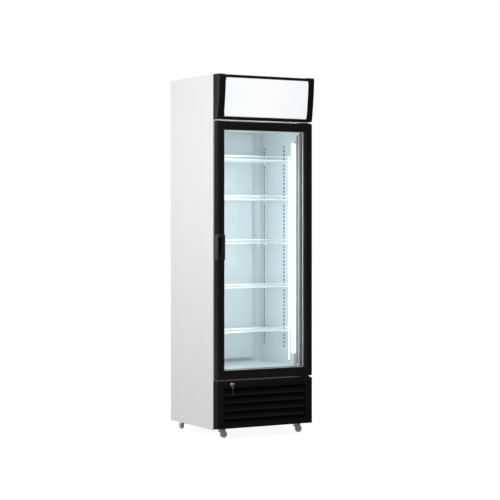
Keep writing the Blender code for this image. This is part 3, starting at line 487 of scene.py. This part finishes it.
def build_back():
    """Back panel with two rows of pressed upright beads, and its screws."""
    low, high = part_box("back_panel")
    half = 0.010
    bm = bmesh.new()
    block(bm, low, high)
    for z_low, z_high in ((low.z + 0.10, 1.05), (1.15, high.z - 0.12)):
        for x in (-0.19, -0.095, 0.0, 0.095, 0.19):
            bead = []
            for y, trim in ((high.y - 0.0004, 0.0), (REAR - 0.0002, 0.004)):
                outline = rounded_rect(x - half + trim, x + half - trim, z_low + trim, z_high - trim,
                                       0.0058 - trim * 0.4)
                bead.append([(a, y, b) for a, b in outline])
            loft(bm, bead)
    add("back_sheet", bm, "back", stands_for=("back_panel",), bevel=0.0004, segments=1)
    margin = 0.012
    heights = [low.z + 0.03 + (high.z - low.z - 0.06) * step / 6 for step in range(7)]
    spots = [(side * (high.x - margin), high.y, z) for side in (-1, 1) for z in heights]
    spots += [(x, high.y, z) for x in (-0.16, 0.0, 0.16) for z in (low.z + margin, high.z - margin)]
    screws("back_screws", spots, (0, 1, 0), 0.0040, 0.0011)


# ---- grille and lock
SLOT_HALF = 0.256
SLOT_COUNT = 5
SLOT_HIGH = 0.026
SLOT_PITCH = 0.0416
FIRST_SLOT = grille_low.z + 0.0386
GRILLE_WALL = DOOR_FRONT + 0.0025


def build_surround():
    """Moulded grille surround with round corners, bored for the lock and slotted for its cam."""
    front = DOOR_FRONT
    rear = grille_high.y
    wall = GRILLE_WALL - front
    side = HALF - SLOT_HALF
    bottom = FIRST_SLOT - SLOT_HIGH / 2 - grille_low.z
    top = grille_high.z - (FIRST_SLOT + (SLOT_COUNT - 1) * SLOT_PITCH + SLOT_HIGH / 2)
    section = [(0, 0, rear), (0, 0, front + 0.004), (0, 0.0004, front + 0.0020), (0, 0.0014, front + 0.0007),
               (0, 0.0035, front), (1, -0.0012, front), (1, -0.0003, front + 0.0004), (1, 0, front + 0.0012),
               (1, 0, GRILLE_WALL), (0, wall, GRILLE_WALL), (0, wall, rear)]
    bm = bmesh.new()
    rim(bm, grille_low, grille_high, (side, side, bottom, top), section)
    surround = add("grille_surround", bm, "black", stands_for=("front_grille",), angle=25.0)
    low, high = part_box("lock_barrel")
    centre = (low + high) / 2
    drill(surround, 0.0083, (centre.x, front, centre.z), (0, 1, 0), -0.01, 0.01, 32)
    cut_cam_slot(surround, grille_high.z - 0.006)
    surround.data.set_sharp_from_angle(angle=radians(25))


def build_louvres():
    """Bars with a lip between the slots, sloping blades behind them, and two upright ties."""
    front = DOOR_FRONT
    bars = bmesh.new()
    blades = bmesh.new()
    for row in range(SLOT_COUNT):
        low = FIRST_SLOT + row * SLOT_PITCH - SLOT_HIGH / 2
        high = low + SLOT_HIGH
        if row < SLOT_COUNT - 1:
            top = low + SLOT_PITCH
            bar = [(GRILLE_WALL, high - 0.0006), (front + 0.0012, high - 0.0006),
                   (front + 0.0002, high + 0.0006)]
            bar += [(front + 0.0022 * share * share, high + (top - high) * (0.15 + 0.75 * share))
                    for share in (0, 0.2, 0.4, 0.6, 0.8, 1.0)]
            bar.append((GRILLE_WALL, top + 0.0002))
            prism(bars, bar, "X", -SLOT_HALF - 0.0006, SLOT_HALF + 0.0006)
        slope = [(front + 0.0012, low - 0.0030), (front + 0.0006, low - 0.0018),
                 (front + 0.0010, low - 0.0006), (front + 0.0175, low + 0.0142),
                 (front + 0.0185, low + 0.0134), (front + 0.0182, low + 0.0120)]
        prism(blades, slope, "X", -SLOT_HALF - 0.003, SLOT_HALF + 0.003)
    add("grille_bars", bars, "black", angle=25.0)
    # The blades and ties take the darker black, which paints the shade in the slots.
    add("grille_blades", blades, "blade", angle=25.0)
    ties = bmesh.new()
    for x in (-SLOT_HALF / 3, SLOT_HALF / 3):
        rounded_block(ties, (x - 0.0015, front + 0.006, FIRST_SLOT - 0.018),
                      (x + 0.0015, front + 0.016, grille_high.z - 0.002), 0.0007)
    add("grille_ties", ties, "blade")


def build_filter():
    """Pleated air filter in a slim frame, clipped behind the blades."""
    front = DOOR_FRONT + 0.0190
    rear = front + 0.0022
    low = Vector((-SLOT_HALF - 0.010, front, FIRST_SLOT - 0.020))
    high = Vector((SLOT_HALF + 0.010, rear, FIRST_SLOT + 4.5 * SLOT_PITCH))
    felt = bmesh.new()
    rim(felt, low, high, (0.006,) * 4, [(0, 0, front), (1, 0, front), (1, 0, rear), (0, 0, rear)])
    reach = SLOT_HALF + 0.005
    folds = 2 * int(2 * reach / 0.012)
    near = [(-reach + 2 * reach * step / folds, front + 0.0004 + 0.0011 * (step % 2))
            for step in range(folds + 1)]
    far = [(x, y + 0.0006) for x, y in near]
    prism(felt, near + far[::-1], "Z", low.z + 0.005, high.z - 0.005)
    add("grille_filter", felt, "felt", angle=20.0)


def build_lock():
    """Round lock with a chamfered collar, its core and key, and a second key hanging on a ring."""
    low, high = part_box("lock_barrel")
    centre = (low + high) / 2
    radius = (high.x - low.x) / 2
    length = high.y - low.y
    core = 0.0064
    shank = 0.0080
    collar = [(core, 0.0004), (core + 0.0006, 0), (radius - 0.0024, 0), (radius - 0.0010, 0.0003),
              (radius - 0.0002, 0.0010), (radius, 0.0018), (radius, 0.0022), (shank, 0.0022), (shank, length),
              (core, length)]
    bm = bmesh.new()
    lathe(bm, collar, (centre.x, low.y, centre.z), (0, 1, 0), 48, hollow=True)
    add("lock_collar", bm, "chrome", stands_for=("lock_barrel",), angle=30.0)
    refined("lock_core", "chrome", 0.0003, "lock")
    refined("lock_key", "chrome", 0.00035, "lock")
    refined("spare_key", "chrome", 0.00025, "hanging_key", segments=1, angle=50.0)


# ---- door
GLASS_GRIP = 0.79
HINGE_BEAD = 0.0123
HINGE_SPACER = 0.0212
HINGE_SEAL = 0.0140
pane_low, pane_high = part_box("door_glass_outer")
PANE_SEAT = pane_low.y - 0.0003
DOOR_WIDTHS = tuple(gap / GLASS_GRIP for gap in (pane_low.x - door_low.x, door_high.x - pane_high.x,
                                                 pane_low.z - door_low.z, door_high.z - pane_high.z))


def build_profile():
    """Door frame with round outer edges and a sloping glazing lip, cut for the handle, pins and cam."""
    front = door_low.y
    rear = door_high.y
    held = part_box("door_glass_inner")[1].y + 0.0003
    section = [(0, 0.0016, rear), (0, 0.0004, rear - 0.0005), (0, 0, rear - 0.0016), (0, 0, front + 0.0040),
               (0, 0.0004, front + 0.0020), (0, 0.0014, front + 0.0007), (0, 0.0032, front),
               (1, -0.0042, front), (1, -0.0030, front + 0.0004), (1, -0.0004, front + 0.0026),
               (1, 0, PANE_SEAT), (0.78, 0, PANE_SEAT), (0.78, 0, held), (1, 0, held),
               (1, 0, rear - 0.0012), (1, -0.0012, rear)]
    bm = bmesh.new()
    rim(bm, door_low, door_high, DOOR_WIDTHS, section)
    profile = add("door_profile", bm, "profile", "door", ("door_frame",), angle=25.0)
    low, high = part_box("door_handle")
    deepest = max(v.co.x for v in nodes["door_handle"].data.vertices if v.co.y > front + 0.006)
    notch = bmesh.new()
    block(notch, (-HALF - 0.01, front - 0.01, low.z - 0.0003),
          (deepest + 0.0003, high.y + 0.0003, high.z + 0.0003))
    cut(profile, notch)
    pin = joints["door_hinge"]["pos_m"]
    for z_low, z_high in ((door_low.z - 0.01, door_low.z + 0.0185),
                          (door_high.z - 0.0205, door_high.z + 0.01)):
        drill(profile, 0.0052, (pin[0], pin[1], 0), (0, 0, 1), z_low, z_high, 24)
    cut_cam_slot(profile, door_low.z - 0.010)
    profile.data.set_sharp_from_angle(angle=radians(25))


def build_glazing():
    """Two panes, a sloping bead at the hinge side, and the bright spacer, wider at that side."""
    for name in ("door_glass_outer", "door_glass_inner"):
        pane = refined(name, "glass", 0.0, "door")
        pane.data.shade_flat()
        pane.visible_shadow = False
    front = door_low.y
    right, bottom, top = DOOR_WIDTHS[1:]
    edge = door_high.x - right
    tip = edge - HINGE_BEAD
    bead = [(edge + 0.0036, front + 0.0002), (edge + 0.0046, front + 0.0010), (edge + 0.0010, PANE_SEAT),
            (tip, PANE_SEAT), (tip, PANE_SEAT - 0.0006), (tip + 0.0010, PANE_SEAT - 0.0012)]
    bm = bmesh.new()
    prism(bm, bead, "Z", door_low.z + bottom - 0.001, door_high.z - top + 0.001)
    add("door_hinge_bead", bm, "profile", "door", angle=25.0)
    low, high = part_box("door_spacer")
    thick = 0.012
    bm = bmesh.new()
    rim(bm, low, high, (thick, HINGE_SPACER, thick, thick),
        [(0, 0, low.y), (1, -0.0005, low.y), (1, 0, low.y + 0.0005), (1, 0, high.y - 0.0005),
         (1, -0.0005, high.y), (0, 0, high.y)])
    add("door_glass_spacer", bm, "spacer", "door", ("door_spacer",))


def build_gasket():
    """Magnetic seal: a base strip, a narrow bellows neck and the flat bulb that meets the cabinet."""
    low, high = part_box("door_gasket")
    reach = liner_low.x + 0.0015 - low.x
    base = low.y
    face = high.y
    section = [(0.02, 0, base), (0, 0, base + 0.0010), (0.05, 0, base + 0.0026), (0.30, 0, base + 0.0036),
               (0.34, 0, base + 0.0048), (0.16, 0, base + 0.0066), (0.14, 0, face - 0.0040),
               (0.18, 0, face - 0.0008), (0.26, 0, face), (0.72, 0, face), (0.80, 0, face - 0.0008),
               (0.84, 0, face - 0.0040), (0.80, 0, base + 0.0066), (0.62, 0, base + 0.0048),
               (0.66, 0, base + 0.0036), (0.94, 0, base + 0.0026), (1, 0, base + 0.0010), (0.98, 0, base)]
    bm = bmesh.new()
    rim(bm, low, high, (reach, reach + HINGE_SEAL, 0.026, 0.0225), section)
    add("door_seal", bm, "rubber", "door", ("door_gasket",), angle=50.0)
    refined("door_handle", "grip", 0.0011, "door", segments=3)


def build_hinges():
    """Black hinge plates with round pins, and the painted flanges that carry them."""
    pin = joints["door_hinge"]["pos_m"]
    front = FRONT - 0.0031
    radius = 0.004
    spots = []
    for where, plate, pin_low, pin_high, x_low, z_low, x_high, z_high in (
        ("top", 1.7245, 1.7045, 1.7260, 0.205, 1.7278, 0.258, 1.7750),
        ("bottom", 0.3140, 0.3150, 0.3370, 0.236, 0.2700, 0.2965, 0.3137),
    ):
        low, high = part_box("hinge_bracket_" + where)
        bm = bmesh.new()
        block(bm, (pin[0] - 0.049, low.y, plate), (high.x, high.y, plate + 0.003))
        lathe(bm, [(0, pin_low + 0.0006), (0.0034, pin_low), (radius, pin_low + 0.0008), (radius, pin_high),
                   (0, pin_high)], (pin[0], pin[1], 0), (0, 0, 1), 24)
        add("hinge_plate_" + where, bm, "black", stands_for=("hinge_bracket_" + where,), bevel=0.0004,
            segments=1)
        bm = bmesh.new()
        block(bm, (x_low, front, z_low), (x_high, high.y, z_high))
        add("hinge_flange_" + where, bm, "face", bevel=0.0004)
        spots += [(x, front, (z_low + z_high) / 2) for x in (x_low + 0.0125, x_high - 0.0125)]
    screws("hinge_screws", spots, (0, -1, 0), 0.0038, 0.0022)


# ---- canopy
CAP_ROUND = 0.014
CAP_BULGE = 0.0035


def canopy_face(z):
    """How far forward the canopy's bowed face stands at a height."""
    share = (z - cap_low.z) / (cap_high.z - CAP_ROUND - cap_low.z)
    return DOOR_FRONT + (cap_low.y - DOOR_FRONT) * share - 4 * CAP_BULGE * share * (1 - share)


def cap_loop(x, inset):
    """The end cap's side view at x, its front, top and bottom drawn in by inset."""
    low = cap_low.z + inset
    high = cap_high.z - inset
    bottom = 0.0065
    top = CAP_ROUND - inset
    spots = [(cap_high.y, low)]
    spots += arc(canopy_face(low + bottom) + inset + bottom, low + bottom, bottom, 270, 180, 4)
    heights = [low + bottom + 0.012 + (high - low - bottom - top - 0.024) * step / 14 for step in range(15)]
    spots += [(canopy_face(z) + inset, z) for z in heights]
    spots += arc(canopy_face(high - top) + inset + top, high - top, top, 180, 90, 6)
    spots.append((cap_high.y, high))
    return [(x, y, z) for y, z in spots]


def build_canopy():
    """Curved end caps, housing with its two rails, lit panel, batten and tube lamp."""
    inner = HALF - (cap_high.x - cap_low.x)
    edge = 0.0045
    for side, name in ((-1, "canopy_cap_left"), (1, "canopy_cap_right")):
        loops = [cap_loop(side * inner, 0.0006), cap_loop(side * (inner + 0.0006), 0.0)]
        loops += [cap_loop(side * (HALF - edge + out), edge - back)
                  for back, out in arc(0, 0, edge, 0, 90, 5)]
        loops.append(cap_loop(side * HALF, edge + 0.0065))
        loops.append(cap_loop(side * (HALF - 0.0009), edge + 0.0085))
        bm = bmesh.new()
        loft(bm, loops)
        add(name + "_moulding", bm, "cap", stands_for=(name,), angle=40.0)
    refined("canopy_housing", "black", 0.0006)
    refined("canopy_panel", "panel", 0.0004, segments=1, angle=50.0)
    refined("canopy_batten", "white", 0.0010)
    low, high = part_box("canopy_lamp")
    centre = (low + high) / 2
    radius = (high.z - low.z) / 2
    half = [(0, 0), (radius * 0.8, 0), (radius, 0.002), (radius, 0.014), (radius * 0.94, 0.015)]
    bm = bmesh.new()
    lathe(bm, mirrored(half, high.x - low.x), (low.x, centre.y, centre.z), (1, 0, 0))
    add("canopy_tube", bm, "lamp", stands_for=("canopy_lamp",), angle=40.0)


def build_bezel():
    """Thin black surround that rounds the corners of the lit panel."""
    margin = 0.0012
    x = panel_high.x - 0.0002
    outer = rounded_rect(-x, x, panel_low.z + 0.0006, panel_high.z - 0.0006, 0.0006, 5)
    inner = rounded_rect(-x + margin, x - margin, panel_low.z + margin, panel_high.z - margin, 0.0065, 5)
    loops = []
    for (ox, oz), (ix, iz) in zip(outer, inner):
        loops.append([(ox, canopy_face(oz) + 0.0007, oz), (ox, canopy_face(oz) + 0.0002, oz),
                      (ix, canopy_face(iz) + 0.0002, iz), (ix, canopy_face(iz) + 0.0007, iz)])
    bm = bmesh.new()
    loft(bm, loops, closed=True)
    add("canopy_bezel", bm, "black")


# ---- fittings in the cabinet
RAIL_PROUD = 0.0032
RAIL_PITCH = 0.0209
RAIL_SLOT = 0.0120
WIRE_PITCH = 0.0125


def shelf_level(number):
    """Height of the middle of a shelf's wires."""
    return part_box(f"shelf_{number}")[0].z + 0.0025


def build_rail(where, side):
    """Slotted upright channel with a dark plate behind it, painted shade seen through its slots, and a bent
    clip under every shelf.
    """
    name = f"shelf_rail_{where}_{side}"
    low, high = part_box(name)
    out = 1 if side == "right" else -1
    wall, tip = (high.x, low.x) if side == "right" else (low.x, high.x)
    face = wall - out * RAIL_PROUD
    back = face + out * SHEET
    middle = (low.y + high.y) / 2
    up = [low.z]
    for index in range(int((high.z - low.z - 0.010) / RAIL_PITCH)):
        start = low.z + 0.007 + index * RAIL_PITCH
        up += [start, start + RAIL_SLOT]
    up.append(high.z)
    bm = bmesh.new()
    pierced(bm, [low.y, middle - 0.0072, middle + 0.0072, high.y], up, "X", face, back,
            lambda column, row: column != 1 or row % 2 == 0)
    for y in (low.y, high.y - SHEET):
        block(bm, (back, y, low.z), (wall, y + SHEET, high.z))
    add(f"rail_{where}_{side}", bm, "rail", stands_for=(name,))
    # Dark plate just behind the slotted face, painted shade in the slots.
    bm = bmesh.new()
    block(bm, (back + out * 0.0004, middle - 0.0084, low.z + 0.004),
          (back + out * 0.0014, middle + 0.0084, high.z - 0.004))
    add(f"rail_shadow_{where}_{side}", bm, "slot", bevel=0.0003, segments=1)
    clips = bmesh.new()
    for number in SHELF_NUMBERS:
        top = shelf_level(number) - 0.0028
        clip = [(face + out * 0.001, top - 0.016), (face, top - 0.016), (face - out * 0.0012, top - 0.010),
                (face - out * 0.003, top - 0.0030), (tip + out * 0.001, top - 0.0022), (tip, top - 0.0012),
                (tip + out * 0.0004, top), (face + out * 0.001, top)]
        prism(clips, clip, "Y", middle - 0.0052, middle + 0.0052)
    add(f"clips_{where}_{side}", clips, "wire", bevel=0.0003, segments=1)


def build_shelf(number):
    """Wire shelf: round rim, and close wires over three rods that turn up into a low front fence."""
    name = f"shelf_{number}"
    low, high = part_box(name)
    level = shelf_level(number)
    rim_radius = 0.0025
    wire = 0.0012
    rod = 0.0026
    left, right = low.x + rim_radius, high.x - rim_radius
    front, rear = low.y + rim_radius, high.y - rim_radius
    bm = bmesh.new()
    outline = rounded_rect(left, right, front, rear, 0.010)
    tube(bm, [(x, y, level) for x, y in outline], rim_radius, closed=True)
    top = high.z - rod
    laid = level + 0.0009
    fence_y = front + 0.0006
    bend = 0.003
    count = ceil((right - left) / WIRE_PITCH)
    for index in range(1, count):
        x = left + (right - left) * index / count
        path = [(x, rear, laid), (x, front + bend, laid), (x, fence_y, level + bend), (x, fence_y, top)]
        tube(bm, path, wire, 6)
    for share in (0.25, 0.5, 0.75):
        y = front + (rear - front) * share
        tube(bm, [(left, y, level - 0.0005), (right, y, level - 0.0005)], 0.0019, 6)
    corner = 0.007
    start = left + 0.004
    fence = [(start, fence_y, level)]
    fence += [(x, fence_y, z) for x, z in arc(start + corner, top - corner, corner, 180, 90, 4)]
    tube(bm, fence + [(left + right - x, y, z) for x, y, z in fence[::-1]], rod)
    add(f"wire_shelf_{number}", bm, "wire", name, (name,), angle=60.0)


def build_racks():
    for side in ("left", "right"):
        for where in ("front", "rear"):
            build_rail(where, side)
    for number in SHELF_NUMBERS:
        build_shelf(number)


def build_lamp():
    """Upright lamp: white channel and end housing, a softly round glowing cover, and in front a dark grey
    plate that paints the shade beside the lamp.
    """
    refined("lamp_channel", "white", 0.0012, segments=3)
    refined("lamp_diffuser", "lamp", 0.0010, angle=50.0)
    low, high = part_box("lamp_channel")
    # Grey plate from the liner's front edge to the lamp, painted shade beside the lamp.
    bm = bmesh.new()
    block(bm, (high.x - 0.0016, liner_low.y + 0.0040, liner_low.z + 0.010),
          (high.x, low.y - 0.0010, panel_low.z - 0.085))
    add("lamp_painted_shade_trim", bm, "trim", bevel=0.0005)


def build_duct():
    """Rear duct cover with folded edges and its screws, ceiling panel with a wire guard for the fan."""
    refined("duct_cover", "liner", 0.0014, segments=3)
    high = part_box("duct_cover")[1]
    spots = [(side * (high.x - 0.007), high.y - 0.0014, z) for side in (-1, 1)
             for z in (0.43, 0.72, 1.01, 1.30, 1.59)]
    screws("duct_screws", spots, (0, -1, 0), 0.0034, 0.0018)
    refined("ceiling_panel", "liner", 0.0006)
    hub = Vector(joints["evaporator_fan_spin"]["pos_m"])
    hub.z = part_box("ceiling_panel")[0].z - 0.0022
    bm = bmesh.new()
    for index in range(6):
        ring = circle(hub, Vector((1, 0, 0)), Vector((0, 1, 0)), 0.016 + 0.012 * index, 48)
        tube(bm, ring, 0.0009, 6, closed=True)
    for turn in (45, 135, 225, 315):
        spoke = Vector((cos(radians(turn)), sin(radians(turn)), 0))
        tube(bm, [hub + spoke * reach + Vector((0, 0, 0.0012)) for reach in (0.010, 0.080)], 0.0011, 6)
    add("evaporator_guard", bm, "wire", angle=60.0)


# ---- refrigeration parts
def finned(name, node_name, fins):
    """Close-set fins pierced by rows of tube, with the tubes' return bends at both sides."""
    low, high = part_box(node_name)
    bm = bmesh.new()
    bend = 0.012
    radius = 0.0042
    x_low, x_high = low.x + bend, high.x - bend
    for index in range(fins + 1):
        x = x_low + (x_high - x_low) * index / fins
        thick = 0.0010 if index in (0, fins) else 0.00025
        block(bm, (x - thick, low.y, low.z), (x + thick, high.y, high.z))
    add(name + "_fins", bm, "fins", stands_for=(node_name,))
    pipes = bmesh.new()
    rows = 7
    step_z = (high.z - low.z) / (rows + 0.5)
    for column in (0.28, 0.72):
        y = low.y + (high.y - low.y) * column
        for row in range(rows):
            z = low.z + step_z * (row + 0.75)
            tube(pipes, [(x_low, y, z), (x_high, y, z)], radius, 10)
            if row < rows - 1:
                out = -1 if row % 2 else 1
                end = x_high if out > 0 else x_low
                path = [(end + out * (0.001 + (bend - 0.0055) * sin(pi * step / 8)), y,
                         z + step_z * (1 - cos(pi * step / 8)) / 2) for step in range(9)]
                tube(pipes, path, radius, 10)
    add(name + "_tubes", pipes, "copper", angle=60.0)


def build_compressor():
    """Domed compressor with its weld seam, terminal cover and bolted feet, and the tray above it."""
    low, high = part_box("compressor")
    x = (low.x + high.x) / 2
    y = (low.y + high.y) / 2
    base = low.z
    can = [(0, 0.010), (0.046, 0.010), (0.060, 0.016), (0.070, 0.030), (0.0755, 0.050), (0.0770, 0.078),
           (0.0770, 0.084), (0.0795, 0.0855), (0.0795, 0.0905), (0.0770, 0.092), (0.0765, 0.112),
           (0.0735, 0.132), (0.066, 0.150), (0.054, 0.164), (0.036, 0.174), (0.016, 0.1785), (0, 0.1795)]
    bm = bmesh.new()
    lathe(bm, can, (x, y, base), (0, 0, 1), 56)
    rounded_block(bm, (low.x, low.y + 0.0245, base + 0.0005), (high.x, high.y - 0.0245, base + 0.0085), 0.012)
    add("compressor_shell", bm, "enamel", stands_for=("compressor",), angle=40.0)
    feet = bmesh.new()
    grommet = [(0.0042, 0.0002), (0.0105, 0.0002), (0.0115, 0.004), (0.0085, 0.008), (0.0115, 0.012),
               (0.0105, 0.0155), (0.0042, 0.0155)]
    for side in (-1, 1):
        for end in (-1, 1):
            lathe(feet, grommet, (x + side * 0.080, y + end * 0.040, base), (0, 0, 1), 24, hollow=True)
    add("compressor_grommets", feet, "rubber", angle=40.0)
    cover = bmesh.new()
    rounded_block(cover, (x - 0.026, y - 0.0885, base + 0.055), (x + 0.026, y - 0.070, base + 0.118),
                  0.006, "Y")
    add("compressor_terminal_cover", cover, "tray", bevel=0.0015, segments=3)
    refined("drip_tray", "tray", 0.0007)


def build_machine():
    """Condenser with its shroud, fan and motor, electrical box, filter drier and pipe."""
    finned("condenser", "condenser_coil", 74)
    finned("evaporator", "evaporator_coil", 60)
    refined("condenser_fan_shroud", "steel", 0.0006)
    refined("condenser_fan_motor", "enamel", 0.0008, segments=3)
    refined("evaporator_fan_motor", "enamel", 0.0008, segments=3)
    refined("condenser_fan_blade", "zinc", 0.0003, "condenser_fan", segments=1)
    refined("evaporator_fan_blade", "fan", 0.0003, "evaporator_fan", segments=1)
    refined("electrical_box", "steel", 0.0012, segments=3)
    low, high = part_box("electrical_box")
    spots = [(x, high.y, z) for x in (low.x + 0.010, high.x - 0.010) for z in (low.z + 0.010, high.z - 0.010)]
    screws("box_screws", spots, (0, 1, 0), 0.0034, 0.0020)
    refined("discharge_pipe", "copper", 0.0, angle=70.0)
    low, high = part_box("filter_drier")
    half = [(0, 0), (0.0032, 0), (0.0034, 0.003), (0.0050, 0.006), (0.0080, 0.010),
            ((high.x - low.x) / 2, 0.015)]
    bm = bmesh.new()
    lathe(bm, mirrored(half, high.z - low.z), ((low.x + high.x) / 2, (low.y + high.y) / 2, low.z), (0, 0, 1))
    add("drier_shell", bm, "copper", stands_for=("filter_drier",), angle=50.0)


# ---- castors
def build_fork(corner, axle, centre):
    """Pressed fork under a ball race, drawn round the swivel's axis and turned to face its axle."""
    pivot = Vector(joints[f"castor_{corner}_swivel"]["pos_m"])
    trail = (centre - pivot).xy.length
    head = casing_low.z + 0.0022
    bridge = centre.z * 2 + 0.0008
    inside = 0.0092
    outside = inside + 0.0015
    race = [(0, -0.0086), (0.0050, -0.0086), (0.0058, -0.0080), (0.0135, -0.0080), (0.0150, -0.0070),
            (0.0152, -0.0058), (0.0172, -0.0054), (0.0206, -0.0040), (0.0228, -0.0020), (0.0230, 0),
            (0.0040, 0), (0.0040, 0.018), (0, 0.018)]
    leg = [(-0.0165, head - 0.0060), (-0.0140, bridge - 0.004), (trail - 0.0075, centre.z + 0.001),
           (trail - 0.0068, centre.z - 0.0035), (trail - 0.0035, centre.z - 0.0060),
           (trail + 0.0010, centre.z - 0.0064), (trail + 0.0048, centre.z - 0.0042),
           (trail + 0.0068, centre.z), (0.0205, bridge - 0.004), (0.0212, head - 0.0048)]
    nut = [(0, -outside - 0.0018), (0.0030, -outside - 0.0018), (0.0034, -outside - 0.0014),
           (0.0034, -outside), (0.0020, -outside)]
    bm = bmesh.new()
    lathe(bm, race, (0, 0, head), (0, 0, 1), 40)
    for side in (-1, 1):
        prism(bm, leg, "X", side * inside, side * outside)
    block(bm, (-outside, -0.0125, bridge + 0.0004), (outside, 0.0150, head - 0.0074))
    lathe(bm, mirrored(nut), (0, trail, centre.z), (1, 0, 0), 18)
    bm.transform(Matrix.Translation((pivot.x, pivot.y, 0)) @ Matrix.Rotation(atan2(axle.y, axle.x), 4, "Z"))
    add(f"fork_{corner}", bm, "chrome", f"castor_{corner}", (f"castor_fork_{corner}",), bevel=0.00025)


def build_wheel(corner, axle, centre):
    """Wheel with a round-edged tread and a paler dished hub."""
    radius = centre.z
    side = -0.0080
    tyre = [(radius - 0.0052, side + 0.0006), (radius - 0.0030, side), (radius - 0.0012, side + 0.0006),
            (radius - 0.0002, side + 0.0022), (radius, side + 0.0036)]
    hub = [(0.0028, side), (0.0056, side), (0.0064, side + 0.0010), (0.0068, side + 0.0026),
           (radius - 0.0068, side + 0.0026), (radius - 0.0058, side + 0.0012),
           (radius - 0.0050, side + 0.0008)]
    bm = bmesh.new()
    lathe(bm, mirrored(tyre), centre, axle, 56, hollow=True)
    add(f"tyre_{corner}", bm, "tread", f"wheel_{corner}", (f"castor_wheel_{corner}",), angle=40.0)
    bm = bmesh.new()
    lathe(bm, mirrored(hub), centre, axle, 56, hollow=True)
    add(f"hub_{corner}", bm, "hub", f"wheel_{corner}", angle=30.0)


def build_castors():
    for corner in CORNERS:
        roll = joints[f"wheel_{corner}_roll"]
        axle = Vector(roll["axis"]).normalized()
        build_fork(corner, axle, Vector(roll["pos_m"]))
        build_wheel(corner, axle, Vector(roll["pos_m"]))


# ---- studio
def build_floor():
    """Pale floor that the eye sees and the light doesn't."""
    bm = bmesh.new()
    block(bm, (-30, -30, -0.05), (30, 30, -0.0005))
    floor = closed_object("floor", bm)
    pale = finish("pale_floor", (0.30, 0.30, 0.30), 0.9, specular=0.0, mottle=0.004, grain=0.0)
    shader = pale.node_tree.nodes["Principled BSDF"]
    shader.inputs["Emission Color"].default_value = (1, 1, 1, 1)
    shader.inputs["Emission Strength"].default_value = 0.90
    floor.data.materials.append(pale)
    floor.visible_diffuse = False
    floor.visible_glossy = False


def build_world():
    """White surround for the eye, a dimmer and directional one for the light."""
    world = bpy.data.worlds.new("studio")
    world.use_nodes = True
    tree = world.node_tree
    tree.nodes.clear()
    sight = node(tree, "ShaderNodeLightPath")
    seen = node(tree, "ShaderNodeMath", operation="MAXIMUM")
    tree.links.new(sight.outputs["Is Camera Ray"], seen.inputs[0])
    tree.links.new(sight.outputs["Is Transmission Ray"], seen.inputs[1])
    pale_sky = node(tree, "ShaderNodeBackground")
    pale_sky.inputs["Color"].default_value = (1, 1, 1, 1)
    soft_sky = node(tree, "ShaderNodeBackground")
    direction = node(tree, "ShaderNodeTexCoord").outputs["Generated"]
    bright_side = node(tree, "ShaderNodeVectorMath", operation="DOT_PRODUCT")
    bright_side.inputs[1].default_value = Vector((-0.72, 0.38, 0.58)).normalized()
    tree.links.new(direction, bright_side.inputs[0])
    level = remap(tree, bright_side.outputs["Value"], 0.10, 0.94, -0.9, 0.9)
    tree.links.new(level, soft_sky.inputs["Strength"])
    choice = node(tree, "ShaderNodeMixShader")
    for socket, source in enumerate((seen, soft_sky, pale_sky)):
        tree.links.new(source.outputs[0], choice.inputs[socket])
    tree.links.new(choice.outputs[0], node(tree, "ShaderNodeOutputWorld").inputs["Surface"])
    bpy.context.scene.world = world


def area_lamp(name, place, target, size, power, colour=(1, 1, 1), tall=None):
    data = bpy.data.lights.new(name, "AREA")
    data.energy = power
    data.color = colour
    data.shape = "RECTANGLE"
    data.size = size
    data.size_y = tall or size
    lamp = link_object(name, data)
    lamp.location = place
    lamp.rotation_euler = (Vector(target) - Vector(place)).to_track_quat("-Z", "Y").to_euler()
    lamp.visible_camera = False


def build_lights():
    """Three studio lights, and small ones for what the cabinet's and canopy's lamps throw about."""
    area_lamp("key", (-2.2, -0.3, 1.80), (-0.3, 0.0, 1.50), 1.1, 19.5)
    area_lamp("overhead", (0.75, -0.25, 3.7), (0.0, 0.0, 1.9), 0.9, 16.0)
    area_lamp("fill", (-0.6, -3.4, 1.8), (0.0, 0.0, 1.1), 1.6, 8.0)
    middle = (liner_low.y + liner_high.y) / 2
    for number in range(6):
        z = 0.50 + 0.19 * number
        area_lamp(f"cabinet_lamp_{number}", (liner_high.x - 0.035, liner_low.y + 0.05, z), (-0.2, middle, z),
                  0.05, 0.045, (0.93, 0.99, 1.0), 0.19)
    for number in range(4):
        z = 0.58 + 0.29 * number
        area_lamp(f"wall_wash_{number}", (-0.20, liner_low.y - 0.034, z), (liner_high.x, -0.03, z),
                  0.04, 0.52 + 0.12 * number, (0.95, 0.99, 1.0), 0.26)
    for name, z, power in (("canopy_spill", cap_low.z - 0.003, 0.075),
                           ("sill_spill", grille_high.z + 0.006, 0.012)):
        area_lamp(name, (0, FRONT - 0.036, z), (0, FRONT, z), 0.56, power, (1, 0.99, 0.98), 0.003)


def build_camera():
    data = bpy.data.cameras.new("camera")
    data.lens = 112.176
    data.sensor_width = 36.0
    data.shift_y = -0.0514
    data.clip_end = 100.0
    camera = link_object("camera", data)
    camera.location = (-4.277, -7.6665, 1.164)
    camera.rotation_euler = (radians(90.0), 0.0, radians(-29.46))
    bpy.context.scene.camera = camera
    bpy.context.scene.view_settings.view_transform = "Standard"


for build in (build_casing, build_surround, build_louvres, build_filter, build_lock, build_profile,
              build_glazing, build_gasket, build_hinges, build_canopy, build_bezel, build_racks, build_lamp,
              build_duct, build_compressor, build_machine, build_castors, build_floor, build_world,
              build_lights, build_camera):
    build()
